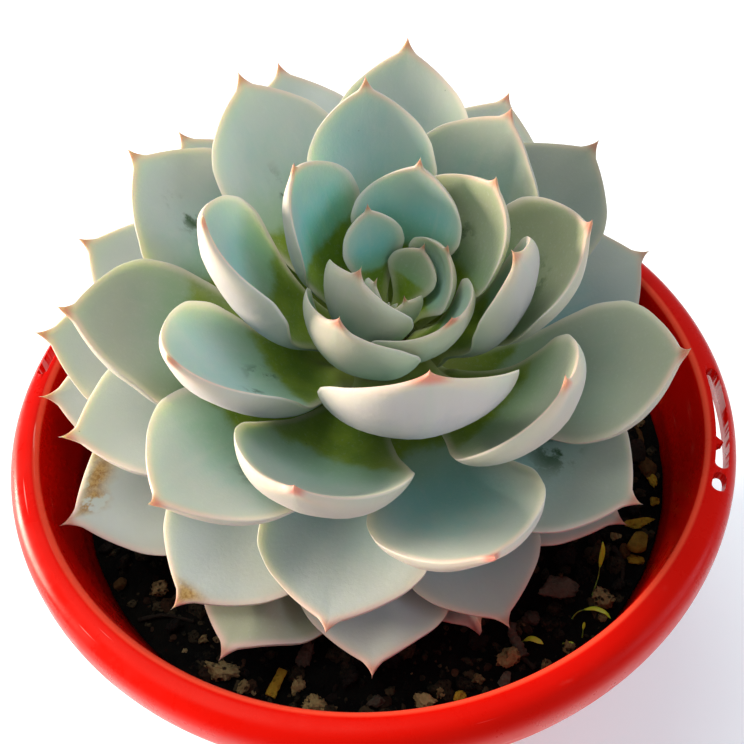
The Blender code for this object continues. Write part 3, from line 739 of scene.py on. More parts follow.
def grain_material(name, dark, light, pits=0.0, wet=0.9, scale=520):
    """Crumbs, bark and stones: each grain has its own tone in the attribute 'tone'."""
    n = Nodes(name)
    c = n.coord()
    tone = n.attr("tone")
    a = n.noise(c, scale, 7, 0.72)
    v = n.voronoi(c, scale * 1.6)
    col = n.mix(n.math("ADD", n.math("MULTIPLY", tone, 0.7), n.math("MULTIPLY", n.math("SUBTRACT", a, 0.5), 1.2),
                       clamp=True), dark, light)
    hole = n.ramp(v, 0.34, 0.12)
    col = n.mix(n.math("MULTIPLY", hole, pits), col, dark)
    h = n.math("SUBTRACT", a, n.math("MULTIPLY", hole, pits))
    n.set(Base_Color=col, Roughness=wet, Normal=n.bump(h, 1.0, 0.0012))
    n.bsdf.inputs["Specular IOR Level"].default_value = 0.15
    return n.mat


def stem_material():
    n = Nodes("finish_stem")
    c = n.coord()
    a = n.noise(c, 220, 6, 0.65)
    ringed = n.noise(n.mapping(c, (90, 90, 500)), 1.0, 4, 0.6)
    col = n.mix(n.ramp(ringed, 0.35, 0.68), lin(122, 112, 62), lin(160, 152, 92))
    col = n.mix(n.math("MULTIPLY", n.ramp(a, 0.52, 0.70), 0.6), col, lin(104, 78, 50))
    n.set(Base_Color=col, Roughness=0.72, Normal=n.bump(n.math("ADD", a, ringed), 0.5, 0.001))
    n.set(Subsurface_Weight=0.08, Subsurface_Scale=0.003)
    return n.mat


def sprout_material():
    n = Nodes("finish_sprout")
    c = n.coord()
    t = n.attr("tone")
    a = n.noise(c, 900, 4, 0.6)
    col = n.mix(n.ramp(n.math("ADD", t, n.math("MULTIPLY", n.math("SUBTRACT", a, 0.5), 0.6)), 0.1, 0.9),
                lin(96, 116, 26), lin(186, 196, 44))
    n.set(Base_Color=col, Roughness=0.5, Normal=n.bump(a, 0.3, 0.0002))
    n.set(Subsurface_Weight=0.2, Subsurface_Scale=0.001)
    return n.mat


def floor_material():
    n = Nodes("finish_floor")
    c = n.coord()
    a = n.noise(c, 30, 4, 0.5)
    col = n.mix(a, lin(247, 246, 245), lin(250, 250, 249))
    n.set(Base_Color=col, Roughness=0.9, Emission_Color=(1.0, 1.0, 1.0, 1.0), Emission_Strength=0.19)
    n.bsdf.inputs["Specular IOR Level"].default_value = 0.1
    return n.mat


# ====================================================================== build: leaves
mat_young = leaf_material("finish_young_leaf", True)
mat_leaf = leaf_material("finish_leaf", False)

# how far up the bare green, partly painted shade, reaches on the upper face (share of the length); others follow the
# rule below
BARE_AND_SHADE = {10: 0.46, 17: 0.44, 12: 0.34, 13: 0.40, 19: 0.48, 20: 0.46, 5: 0.30, 31: 0.30, 23: 0.54, 16: 0.43, 14: 0.46,
        9: 0.34, 24: 0.28, 3: 0.50, 28: 0.30, 2: 0.5, 7: 0.38, 21: 0.46, 15: 0.42, 22: 0.36, 26: 0.52, 32: 0.46,
        29: 0.50, 35: 0.34, 37: 0.10, 44: 0.06, 36: 0.16, 18: 0.44, 27: 0.34, 25: 0.56, 11: 0.50, 8: 0.46, 30: 0.36,
        38: 0.40, 33: 0.40, 40: 0.30, 43: 0.34, 41: 0.10, 45: 0.22}
# painted warm light: per leaf, how much yellow-olive cast is painted on
PAINTED_WARM_LIGHT = {10: 0.85, 17: 0.90, 28: 0.62, 20: 0.70, 27: 0.35, 18: 0.35, 31: 0.35, 36: 0.15, 13: 0.3, 3: 0.85, 5: 0.6, 2: 0.6,
        22: 0.20, 25: 0.45, 34: 0.25, 24: 0.25, 19: 0.45, 46: 0.2, 7: 0.45, 6: 0.35, 9: 0.35, 45: 0.75, 8: 0.10}
# painted shade: per leaf, how strong the teal patch in the middle of the blade is
TEAL_SHADE_PATCH = {23: 0.45, 11: 0.95, 8: 0.85, 4: 0.80, 5: 0.95, 1: 0.6, 2: 0.6, 24: 0.75, 15: 0.05, 14: 0.05, 16: 0.15, 28: 0.35, 31: 0.55,
        44: 0.6, 36: 0.55, 37: 0.7, 18: 0.6, 27: 0.55, 26: 0.45, 25: 0.35, 22: 0.35, 19: 0.5, 12: 0.3, 6: 0.6, 30: 0.25}

# painted shade: per leaf, 1 leaves it as is, lower values paint the whole leaf darker
PAINTED_LIGHT_LEVEL = {19: 0.86, 18: 0.80, 25: 0.78, 27: 0.42, 29: 0.94, 35: 0.92, 40: 0.94, 36: 0.50, 46: 0.60, 34: 0.72, 37: 0.62, 44: 0.80, 31: 0.82, 41: 0.80, 30: 0.86, 28: 0.88,
        24: 0.92, 48: 0.7, 45: 0.9}


def bare_and_shade_limit(n):
    return BARE_AND_SHADE.get(n, 0.40 if n < 30 else 0.30)


SCARS = {  # leaf: (s, v, radius in s, radius in v)
    40: [(0.90, -0.60, 0.06, 0.22), (0.95, -0.30, 0.05, 0.30), (0.84, -0.86, 0.06, 0.12)],
    35: [(0.998, 0.05, 0.030, 0.8)],
    43: [(0.62, 0.20, 0.02, 0.06)],
}
RUBS = {
    14: [(0.52, 0.42, 0.07, 0.10)],
    16: [(0.50, -0.05, 0.07, 0.12), (0.62, 0.30, 0.04, 0.07)],
    10: [(0.60, 0.10, 0.10, 0.20)],
    17: [(0.55, 0.00, 0.16, 0.25), (0.38, -0.2, 0.1, 0.2)],
    23: [(0.62, 0.24, 0.08, 0.16), (0.52, 0.30, 0.1, 0.2)],
    31: [(0.66, 0.20, 0.08, 0.30)],
    26: [(0.74, 0.12, 0.10, 0.12)],
    21: [(0.55, 0.10, 0.13, 0.08)],
    34: [(0.66, -0.05, 0.08, 0.15)],
    37: [(0.55, 0.1, 0.07, 0.12)],
    44: [(0.60, 0.2, 0.04, 0.1)],
    29: [(0.80, -0.2, 0.02, 0.04)],
}


def blob(spots, s, v):
    out = np.zeros_like(s)
    for cs, cv, rs, rv in spots:
        d = np.sqrt(((s - cs) / rs)**2 + ((v - cv) / rv)**2)
        out = np.maximum(out, np.clip(1.5 - d, 0, 1))
    return out


sinks = settle()
for number, (leaf, sink) in enumerate(zip(LEAVES, sinks), 1):
    verts, faces, data = fine_leaf(number, leaf, sink)
    length, width = leaf[2], leaf[3]
    point = 1.0 + (1.5 + 0.035 * length) / length
    st, vv, side = data[:, 0], data[:, 1], data[:, 2]
    s = st * point
    half = width / 2 * shape(number, np.clip(s, 0, 1))
    edge = half * (1 - np.abs(vv))
    uv = np.stack([s * length, half * vv + (side < 0) * 60, np.full_like(s, number * 7.31)], -1)
    rnd = (math.sin(number * 12.9898) * 43758.5453) % 1.0
    a = np.stack([np.clip(s, 0, 1.0) * 0.97 + 0.03 * np.clip((s - 1) / (point - 1), 0, 1), vv, side], -1)
    b = np.stack([edge, np.full_like(s, number / 48.0), np.full_like(s, bare_and_shade_limit(number))], -1)
    c = np.stack([blob(SCARS.get(number, []), s, vv) * (side >= 0), blob(RUBS.get(number, []), s, vv) * (side >= 0),
                  np.full_like(s, rnd)], -1)
    # leaf_d: painted warm light, painted teal shade patch, and the spine
    d = np.stack([np.full_like(s, PAINTED_WARM_LIGHT.get(number, 0.0)), np.full_like(s, TEAL_SHADE_PATCH.get(number, 0.15)),
                  np.clip((s - 1) / (point - 1), 0, 1)], -1)
    node = "leaf_%02d" % number
    ob = new_piece(node + "_fine", verts, faces, mat_young if number <= 10 else mat_leaf, node,
                   {"leaf_a": ("FLOAT_VECTOR", a), "leaf_b": ("FLOAT_VECTOR", b), "leaf_c": ("FLOAT_VECTOR", c),
                    "leaf_d": ("FLOAT_VECTOR", d),
                    "leaf_tone": ("FLOAT", np.full(len(s), PAINTED_LIGHT_LEVEL.get(number, 1.0 if number < 25 else 0.84))), "leaf_uv": ("FLOAT_VECTOR", uv)})
    face_out(ob)


# ====================================================================== build: growing point
def tiny_leaf(az, length, width, rise, base, thick):
    """A closed little leaf of the growing point, in the upright plant frame."""
    rows, cols = 12, 12
    a = math.radians(az)
    out = np.array([math.cos(a), math.sin(a), 0.0])
    acr = np.array([-math.sin(a), math.cos(a), 0.0])
    pts = []
    for i in range(rows + 1):
        s = i / rows
        th = math.radians(rise - 16 * s)
        c = base + out * (length * s * math.cos(th)) + np.array([0, 0, 1]) * (length * s * math.sin(th))
        nrm = -out * math.sin(th) + np.array([0, 0, 1]) * math.cos(th)
        w = width / 2 * max(float(ease(s, [0, .35, .65, .9, 1.0], [.55, .95, .90, .42, .03])), 0.03)
        t = thick / 2 * max(float(ease(s, [0, .5, .9, 1.0], [.9, 1.0, .5, .04])), 0.04)
        for k in range(cols):
            q = 2 * math.pi * k / cols
            pts.append(c + acr * (w * math.cos(q)) + nrm * (t * math.sin(q) + 0.12 * w * math.cos(q)**2))
    faces = []
    for i in range(rows):
        for k in range(cols):
            k2 = (k + 1) % cols
            faces.append((i * cols + k, i * cols + k2, (i + 1) * cols + k2, (i + 1) * cols + k))
    faces.append(tuple(range(cols))[::-1])
    faces.append(tuple(rows * cols + k for k in range(cols)))
    data = [[i / rows, math.cos(2 * math.pi * k / cols), 1 if math.sin(2 * math.pi * k / cols) >= 0 else -1]
            for i in range(rows + 1) for k in range(cols)]
    return np.array(pts), faces, np.array(data)


def build_bud_fine():
    verts, faces, aa, bb, cc, uv = [], [], [], [], [], []
    off = 0
    for j, (az, length, width, rise) in enumerate([(20, 3.6, 1.5, 72), (157, 3.2, 1.4, 70), (294, 2.8, 1.3, 74),
                                                   (71, 2.4, 1.1, 78), (208, 2.0, 1.0, 80), (345, 1.6, 0.8, 84)]):
        base = np.array([0.30 * math.cos(math.radians(az)), 0.30 * math.sin(math.radians(az)), 140.6 + 0.25 * j])
        v, f, d = tiny_leaf(az, length, width, rise, base, 0.55)
        verts.append(lean(v))
        faces += [tuple(i + off for i in q) for q in f]
        off += len(v)
        aa.append(d)
        bb.append(np.stack([0.5 * (1 - np.abs(d[:, 1])) + 0.8, np.zeros(len(d)), np.full(len(d), 0.75)], -1))
        cc.append(np.tile([0.0, 0.0, 0.4], (len(d), 1)))
        uv.append(np.stack([d[:, 0] * 3, d[:, 1], np.full(len(d), 90.0 + j)], -1))
    # core that carries them
    prof = [(0, 137.4), (0.55, 137.7), (0.80, 139.2), (0.78, 140.4), (0.5, 141.6), (0, 142.3)]
    core, cf = spin(prof, 24)
    verts.append(lean(core))
    faces += [tuple(i + off for i in q) for q in cf]
    k = len(core)
    aa.append(np.tile([0.3, 0.0, 1.0], (k, 1)))
    bb.append(np.tile([3.0, 0.0, 0.9], (k, 1)))
    cc.append(np.tile([0.0, 0.0, 0.4], (k, 1)))
    uv.append(core * 1.0)
    ob = new_piece("bud_fine", np.concatenate(verts), faces, mat_young, "bud",
                   {"leaf_a": ("FLOAT_VECTOR", np.concatenate(aa)), "leaf_b": ("FLOAT_VECTOR", np.concatenate(bb)),
                    "leaf_c": ("FLOAT_VECTOR", np.concatenate(cc)),
                    # painted warm light and painted teal shade patch for the growing point
                    "leaf_d": ("FLOAT_VECTOR", np.tile([0.45, 0.2, 0.0], (len(np.concatenate(cc)), 1))),
                    "leaf_tone": ("FLOAT", np.ones(len(np.concatenate(cc)))), "leaf_uv": ("FLOAT_VECTOR", np.concatenate(uv))})
    face_out(ob)


def spin(profile, segments, phase=0.0):
    """Closed solid turned about Z from an (r, z) outline; r = 0 points become poles."""
    verts, rows = [], []
    for r, z in profile:
        if r <= 1e-6:
            rows.append([len(verts)])
            verts.append((0.0, 0.0, z))
        else:
            rows.append(list(range(len(verts), len(verts) + segments)))
            for k in range(segments):
                q = 2 * math.pi * k / segments + phase
                verts.append((r * math.cos(q), r * math.sin(q), z))
    faces = []
    for a, b in zip(rows[:-1], rows[1:]):
        for k in range(segments):
            k2 = (k + 1) % segments
            if len(a) == 1 and len(b) > 1:
                faces.append((a[0], b[k], b[k2]))
            elif len(b) == 1 and len(a) > 1:
                faces.append((a[k], b[0], a[k2]))
            elif len(a) > 1:
                faces.append((a[k], b[k], b[k2], a[k2]))
    return np.array(verts, float), faces


build_bud_fine()


# ====================================================================== build: stem
def build_stem_fine():
    seg, rings = 96, []
    zs = np.r_[np.linspace(SOIL_Z - 6.6, SOIL_Z + 1.5, 12), np.linspace(SOIL_Z + 3.0, 134.6, 76)]
    for z in zs:
        q = 2 * np.pi * np.arange(seg) / seg
        if z <= SOIL_Z + 1.5:
            r = 6.35 + 0 * q
        else:
            n = max((139.0 - z) / 0.62, 0.0)
            r = min(base_r(n) - 2.15, 6.0) + 0 * q
        # old leaf scars: crescent ridges set in a spiral
        ridge = 0.0
        for k in range(26):
            zc, ac = SOIL_Z + 2.2 + k * 1.05, math.radians(137.5 * k + 20)
            da = (q - ac + np.pi) % (2 * np.pi) - np.pi
            ridge = ridge + np.exp(-(da / 0.55)**2 - ((z - zc - 0.5 * da**2) / 0.7)**2)
        r = r + 0.22 * np.clip(ridge, 0, 1.2) + 0.18 * noise3(np.stack([np.cos(q) * 2.4, np.sin(q) * 2.4,
                                                                      np.full_like(q, z * 0.5)], -1), 21)
        ring = np.stack([r * np.cos(q), r * np.sin(q), np.full_like(q, z)], -1)
        if z <= SOIL_Z + 1.5:
            ring = ring + np.array([STEM_FOOT[0], STEM_FOOT[1], 0])
            rings.append(ring)
        else:
            rings.append(lean(ring))
    verts = np.concatenate(rings)
    faces = []
    for i in range(len(zs) - 1):
        for k in range(seg):
            k2 = (k + 1) % seg
            faces.append((i * seg + k, i * seg + k2, (i + 1) * seg + k2, (i + 1) * seg + k))
    faces.append(tuple(range(seg))[::-1])
    faces.append(tuple((len(zs) - 1) * seg + k for k in range(seg)))
    ob = new_piece("stem_fine", verts, faces, stem_material(), "stem")
    face_out(ob)


build_stem_fine()


# ====================================================================== build: pot
POT_WALL = [(0, 0), (54.8, 0), (55.9, 0.12), (56.7, 0.5), (57.3, 1.1), (57.7, 1.9), (58.0, 3.4)]


def catmull(points, per):
    p = np.array(points, float)
    p = np.concatenate([p[:1], p, p[-1:]])
    out = []
    for i in range(1, len(p) - 2):
        for k in range(per):
            t = k / per
            out.append(0.5 * ((2 * p[i]) + (-p[i - 1] + p[i + 1]) * t
                              + (2 * p[i - 1] - 5 * p[i] + 4 * p[i + 1] - p[i + 2]) * t * t
                              + (-p[i - 1] + 3 * p[i] - 3 * p[i + 1] + p[i + 2]) * t**3))
    out.append(p[-2])
    return [tuple(q) for q in out]


def build_pot_fine():
    seg = 256
    outer = [(58.0, 3.4), (60.8, 20.0), (63.6, 40.0), (66.6, 60.0), (69.6, 80.0), (71.9, 95.0), (73.0, 102.0),
             (73.7, 108.5)]
    under = [(73.7, 108.5), (74.1, 112.6), (74.6, 114.6), (75.3, 115.5), (76.2, 115.7), (77.0, 115.2), (77.6, 113.8),
             (77.95, 112.0), (78.2, 110.5), (78.5, 109.98), (79.1, 109.85), (79.7, 110.1), (79.98, 110.8),
             (79.97, 112.2), (79.75, 114.0), (79.3, 115.7), (78.5, 116.9), (77.4, 117.65), (76.2, 117.96),
             (75.0, 118.0), (74.0, 117.9), (73.25, 117.55), (72.85, 116.9), (72.65, 115.8)]
    inner = [(72.65, 115.8), (71.9, 109.0), (70.5, 97.0), (68.9, 88.0), (67.4, 80.0), (61.4, 40.0), (56.4, 5.0)]
    prof = POT_WALL[:-1] + catmull(outer, 4)[:-1] + catmull(under, 4)[:-1] + catmull(inner, 3)
    prof += [(55.6, 3.5), (54.6, 3.0), (0, 3.0)]
    v, f = spin(prof, seg)
    # moulded plastic is never perfectly round: a slow ovality and waviness of the wall
    q = np.arctan2(v[:, 1], v[:, 0])
    r = np.hypot(v[:, 0], v[:, 1])
    grow = 1 - 0.0012 * (1 + np.sin(2 * q + 0.7)) * np.clip(r / 80, 0, 1) - 0.0006 * (1 + np.sin(5 * q)) * np.clip(v[:, 2] / 118, 0, 1)
    v[:, 0] *= grow
    v[:, 1] *= grow
    ob = new_piece("pot_fine", v, f, pot_material(), "pot")
    face_out(ob)
    cutters = []
    for k, (a0, a1, nib) in enumerate([(-24.2, -6.0, -20.2), (-28.4, -27.0, None), (152.4, 173.6, None)]):
        cutters.append(slot_cutter("slot_cutter_%d" % k, 74.75, 77.35, a0, a1, 112.9, 121.0, nib))
    for c in cutters:
        m = ob.modifiers.new("cut", "BOOLEAN")
        m.operation, m.solver, m.object = "DIFFERENCE", "EXACT", c
    bev = ob.modifiers.new("soften", "BEVEL")
    bev.limit_method, bev.angle_limit, bev.width, bev.segments = "ANGLE", math.radians(55), 0.28 * MM, 3
    deps = bpy.context.evaluated_depsgraph_get()
    me = bpy.data.meshes.new_from_object(ob.evaluated_get(deps))
    old = ob.data
    ob.modifiers.clear()
    ob.data = me
    bpy.data.meshes.remove(old)
    me.polygons.foreach_set("use_smooth", np.ones(len(me.polygons), bool))
    for c in cutters:
        bpy.data.objects.remove(c, do_unlink=True)


def slot_cutter(name, r0, r1, a0, a1, z0, z1, nib):
    """Rounded slot between two radii; nib leaves a small tooth of flash on the inner side."""
    mid, half = (r0 + r1) / 2, (r1 - r0) / 2
    loop = []
    steps = 60
    for k in range(steps + 1):
        a = math.radians(a0 + (a1 - a0) * k / steps)
        loop.append((r1 * math.cos(a), r1 * math.sin(a)))

    def cap(a, sign):
        a = math.radians(a)
        er, et = (math.cos(a), math.sin(a)), (-math.sin(a) * sign, math.cos(a) * sign)
        c = (mid * er[0], mid * er[1])
        return [(c[0] + half * (math.cos(q) * er[0] + math.sin(q) * et[0]),
                 c[1] + half * (math.cos(q) * er[1] + math.sin(q) * et[1]))
                for q in (math.pi * k / 12 for k in range(1, 12))]

    loop += cap(a1, 1)
    for k in range(steps + 1):
        deg = a1 + (a0 - a1) * k / steps
        a = math.radians(deg)
        r = r0
        if nib is not None:
            r = r0 + 1.5 * max(0.0, 1 - abs(deg - nib) / 0.8)
        loop.append((r * math.cos(a), r * math.sin(a)))
    loop += cap(a0, -1)[::-1]
    n = len(loop)
    verts = [(x, y, z0) for x, y in loop] + [(x, y, z1) for x, y in loop]
    faces = [tuple(range(n))[::-1], tuple(range(n, 2 * n))]
    faces += [(k, (k + 1) % n, n + (k + 1) % n, n + k) for k in range(n)]
    me = bpy.data.meshes.new(name)
    me.from_pydata([(x * MM, y * MM, z * MM) for x, y, z in verts], [], faces)
    me.update()
    ob = bpy.data.objects.new(name, me)
    bpy.context.scene.collection.objects.link(ob)
    bm = bmesh.new()
    bm.from_mesh(me)
    bmesh.ops.recalc_face_normals(bm, faces=bm.faces)
    bm.to_mesh(me)
    bm.free()
    return ob


build_pot_fine()


# ====================================================================== build: soil
def inner_wall(z):
    return float(np.interp(z, [3.0, 5.0, 40.0, 80.0, 97.0, 109.0, 116.5], [54.6, 56.4, 61.4, 67.4, 70.5, 71.9, 72.7]))


def soil_top(x, y):
    r = np.hypot(x, y)
    bumps = (0.55 * np.sin(0.31 * x + 0.8) * np.cos(0.27 * y - 0.4) + 0.40 * np.sin(0.62 * y + 0.23 * x + 2.1)
             + 0.25 * np.cos(0.91 * x - 0.55 * y + 0.5))
    edge = np.clip((r - 56) / 14, 0, 1)
    hollow = 3.0 * np.exp(-((x - 14)**2 + (y + 46)**2) / 20**2)
    return SOIL_Z - 1.0 + bumps * (1 - 0.6 * edge) + 1.2 * edge**2 - hollow


def soil_fine_z(x, y):
    p = np.stack([x, y, 0 * x], -1)
    return (soil_top(x, y) - 0.35 + 0.75 * fbm(p * 0.22, 4, 40) + 0.85 * np.abs(fbm(p * 0.75, 3, 55)) - 0.15)


def build_soil_fine():
    seg = 300
    radii = np.r_[np.linspace(0.6, 69.0, 130), 69.6]
    wall = inner_wall(SOIL_Z) - 0.35
    verts = [(STEM_FOOT[0] * 0, 0, float(soil_fine_z(np.array(0.0), np.array(0.0))))]
    q = 2 * np.pi * np.arange(seg) / seg
    rows = []
    for r in radii:
        rr = min(r, wall - 0.2)
        x, y = rr * np.cos(q), rr * np.sin(q)
        z = soil_fine_z(x, y)
        d = np.hypot(x - STEM_FOOT[0], y - STEM_FOOT[1])
        z = np.where(d < 7.6, z - 1.2, z)
        rows.append(np.stack([x, y, z], -1))
    for z0, r0 in ((86.0, 68.2), (80.0, 66.9), (40.0, 60.9), (5.2, 55.9), (3.4, 54.0)):
        rows.append(np.stack([r0 * np.cos(q), r0 * np.sin(q), np.full_like(q, z0)], -1))
    verts = np.concatenate([np.array(verts)] + rows + [np.array([[0, 0, 3.4]])])
    faces = [(0, 1 + k, 1 + (k + 1) % seg) for k in range(seg)]
    for i in range(len(rows) - 1):
        for k in range(seg):
            k2 = (k + 1) % seg
            faces.append((1 + i * seg + k, 1 + (i + 1) * seg + k, 1 + (i + 1) * seg + k2, 1 + i * seg + k2))
    last = 1 + (len(rows) - 1) * seg
    faces += [(last + k, len(verts) - 1, last + (k + 1) % seg) for k in range(seg)]
    ob = new_piece("soil_bed", verts, faces, soil_material(), "soil")
    face_out(ob)


build_soil_fine()


def ico(level):
    bm = bmesh.new()
    bmesh.ops.create_icosphere(bm, subdivisions=level, radius=1.0)
    bm.verts.ensure_lookup_table()
    v = np.array([x.co[:] for x in bm.verts])
    f = [[x.index for x in p.verts] for p in bm.faces]
    bm.free()
    return v, f


def rock(level, rng, cuts=7, rough=0.10, pits=0.0):
    """An angular lump of unit size: a ball cut by random planes, then roughened."""
    v, f = ico(level)
    for _ in range(cuts):
        n = rng.normal(size=3)
        n /= np.linalg.norm(n)
        d = rng.uniform(0.50, 0.88)
        over = v @ n - d
        v = v - np.outer(np.clip(over, 0, None) * 0.92, n)
    s = rng.uniform(0, 50)
    lump = fbm(v * 1.6 + s, 3, 9)
    v = v * (1 + rough * 1.6 * lump)[:, None]
    if level >= 3:
        v = v * (1 + rough * 1.0 * (np.abs(fbm(v * 4.5 + s, 3, 19)) - 0.2))[:, None]
    if level >= 4:
        v = v * (1 + rough * 0.55 * (np.abs(noise3(v * 11.0 + s, 29)) - 0.2))[:, None]
    if pits:
        hole = np.clip(noise3(v * 5.5 + s, 77) - 0.15, 0, 1)
        v = v * (1 - pits * hole)[:, None]
    return v, f


def turn3(rng, flat=1.0):
    a = rng.uniform(0, 2 * math.pi)
    b = rng.normal(0, 0.35) * flat
    c = rng.normal(0, 0.35) * flat
    return np.array(Matrix.Rotation(a, 3, "Z") @ Matrix.Rotation(b, 3, "X") @ Matrix.Rotation(c, 3, "Y"))


def scatter(name, mat, count, seed, size, squash, tone, region=None, level=2, cuts=7, rough=0.10,
            sink=0.35, pits=0.0):
    rng = np.random.default_rng(seed)
    kinds = [rock(level, rng, cuts, rough, pits) for _ in range(9)]
    verts, faces, tones, off = [], [], [], 0
    tries = 0
    made = 0
    while made < count and tries < count * 20:
        tries += 1
        r = 69.4 * math.sqrt(rng.uniform(0, 1))
        a = rng.uniform(0, 2 * math.pi)
        x, y = r * math.cos(a), r * math.sin(a)
        if region and not region(x, y, rng):
            continue
        k = size(rng)
        if r + k > 69.6 or math.hypot(x - STEM_FOOT[0], y - STEM_FOOT[1]) < 7.4 + k:
            continue
        v, f = kinds[rng.integers(len(kinds))]
        dims = np.array([1.0, rng.uniform(0.6, 1.0), rng.uniform(*squash)]) * k
        p = (v * dims) @ turn3(rng).T
        z = float(soil_fine_z(np.array(x), np.array(y)))
        p = p + np.array([x, y, z + k * squash[0] * (0.55 - sink)])
        verts.append(p)
        faces += [[i + off for i in q] for q in f]
        tones.append(np.full(len(p), tone(rng)))
        off += len(p)
        made += 1
    ob = new_piece(name, np.concatenate(verts), faces, mat, None, {"tone": ("FLOAT", np.concatenate(tones))},
                   smooth=level >= 3)
    return ob


mat_crumb = grain_material("finish_crumbs", lin(4, 4, 4), lin(96, 82, 58), 0.5, 0.97, 700)
mat_bark = grain_material("finish_bark_bits", lin(20, 12, 8), lin(92, 62, 40), 0.4, 0.85, 420)
mat_grit = grain_material("finish_grit", lin(70, 58, 42), lin(176, 150, 104), 0.8, 0.95, 620)
mat_sprout = sprout_material()

half_n = 1.0
scatter("soil_crumbs_fine", mat_crumb, int(2600 * half_n), 11, lambda r: 0.35 + 0.9 * r.random()**2.2, (0.5, 0.9),
        lambda r: 0.05 + 0.9 * r.random()**4)
scatter("soil_crumbs_coarse", mat_crumb, int(560 * half_n), 12, lambda r: 1.1 + 1.6 * r.random()**1.6, (0.45, 0.8),
        lambda r: 0.03 + 0.75 * r.random()**3, level=3, rough=0.34, pits=0.4)
scatter("soil_bark_bits", mat_bark, int(190 * half_n), 13, lambda r: 0.9 + 1.9 * r.random()**1.8, (0.25, 0.5),
        lambda r: r.random() * 0.8, level=2, cuts=10)
scatter("soil_grit", mat_grit, int(70 * half_n), 14, lambda r: 0.45 + 0.9 * r.random()**2, (0.6, 0.95),
        lambda r: 0.15 + r.random() * 0.7, level=3, rough=0.34, pits=0.5)


def on_soil(x, y):
    return float(soil_fine_z(np.array(float(x)), np.array(float(y))))


def lump(name, mat, x, y, a, b, c, turn, tone, seed, slot, node=None, cuts=8, rough=0.12, pits=0.0, level=4,
         lift=0.30, tilt=0.0):
    """One placed stone or chip; when it stands for a CAD node it keeps that node's place."""
    rng = np.random.default_rng(seed)
    v, f = rock(level, rng, cuts, rough, pits)
    v = v / np.abs(v).max(0)
    p = v * np.array([a, b, c]) / 2
    rot = np.array(Matrix.Rotation(math.radians(turn), 3, "Z") @ Matrix.Rotation(math.radians(tilt), 3, "Y"))
    p = p @ rot.T
    if node:
        lo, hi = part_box(node)
        z = lo.z / MM + (hi.z - lo.z) / MM / 2
    else:
        z = on_soil(x, y) + c * lift
    p = p + np.array([x, y, z])
    ob = new_piece(name, p, f, mat, node, {"tone": ("FLOAT", np.full(len(p), tone))})
    return ob


mat_olive = grain_material("finish_olive_stone", lin(74, 58, 14), lin(176, 140, 50), 0.15, 0.55, 300)
mat_porous = grain_material("finish_porous_stone", lin(44, 34, 22), lin(192, 162, 108), 1.0, 0.95, 400)
mat_greyst = grain_material("finish_grey_stone", lin(40, 34, 28), lin(124, 110, 92), 0.3, 0.8, 320)
mat_tan = grain_material("finish_tan_stone", lin(80, 60, 34), lin(196, 166, 112), 0.7, 0.92, 400)
mat_chip = grain_material("finish_chip", lin(40, 22, 10), lin(132, 92, 46), 0.3, 0.8, 380)
mat_yellow = grain_material("finish_yellow_bits", lin(120, 84, 14), lin(206, 168, 52), 0.3, 0.7, 420)
mat_dark = grain_material("finish_dark_bark", lin(16, 11, 8), lin(58, 46, 36), 0.4, 0.8, 380)

lump("stone_olive_fine", mat_olive, 55.6, -36.4, 5.9, 4.5, 3.6, 35, 0.55, 3, "olive_stone", "stone_olive", cuts=5, rough=0.06)
lump("stone_porous_fine", mat_porous, 44.6, -48.0, 5.5, 4.9, 3.4, -20, 0.5, 4, "pale_stone", "stone_porous", pits=0.7, rough=0.30)
lump("stone_grey_fine", mat_greyst, 36.4, -44.6, 9.0, 6.1, 3.8, 5, 0.45, 5, "grey_stone", "stone_grey", cuts=9, rough=0.18)
lump("stone_tan_fine", mat_tan, 24.0, -57.8, 5.9, 3.9, 3.2, 20, 0.55, 6, "pale_stone", "stone_tan", cuts=8, rough=0.26, pits=0.4)
lump("chip_bark_fine", mat_dark, 62.6, -13.0, 7.8, 4.5, 2.8, 75, 0.45, 7, "bark", "chip_bark", cuts=10, rough=0.12)

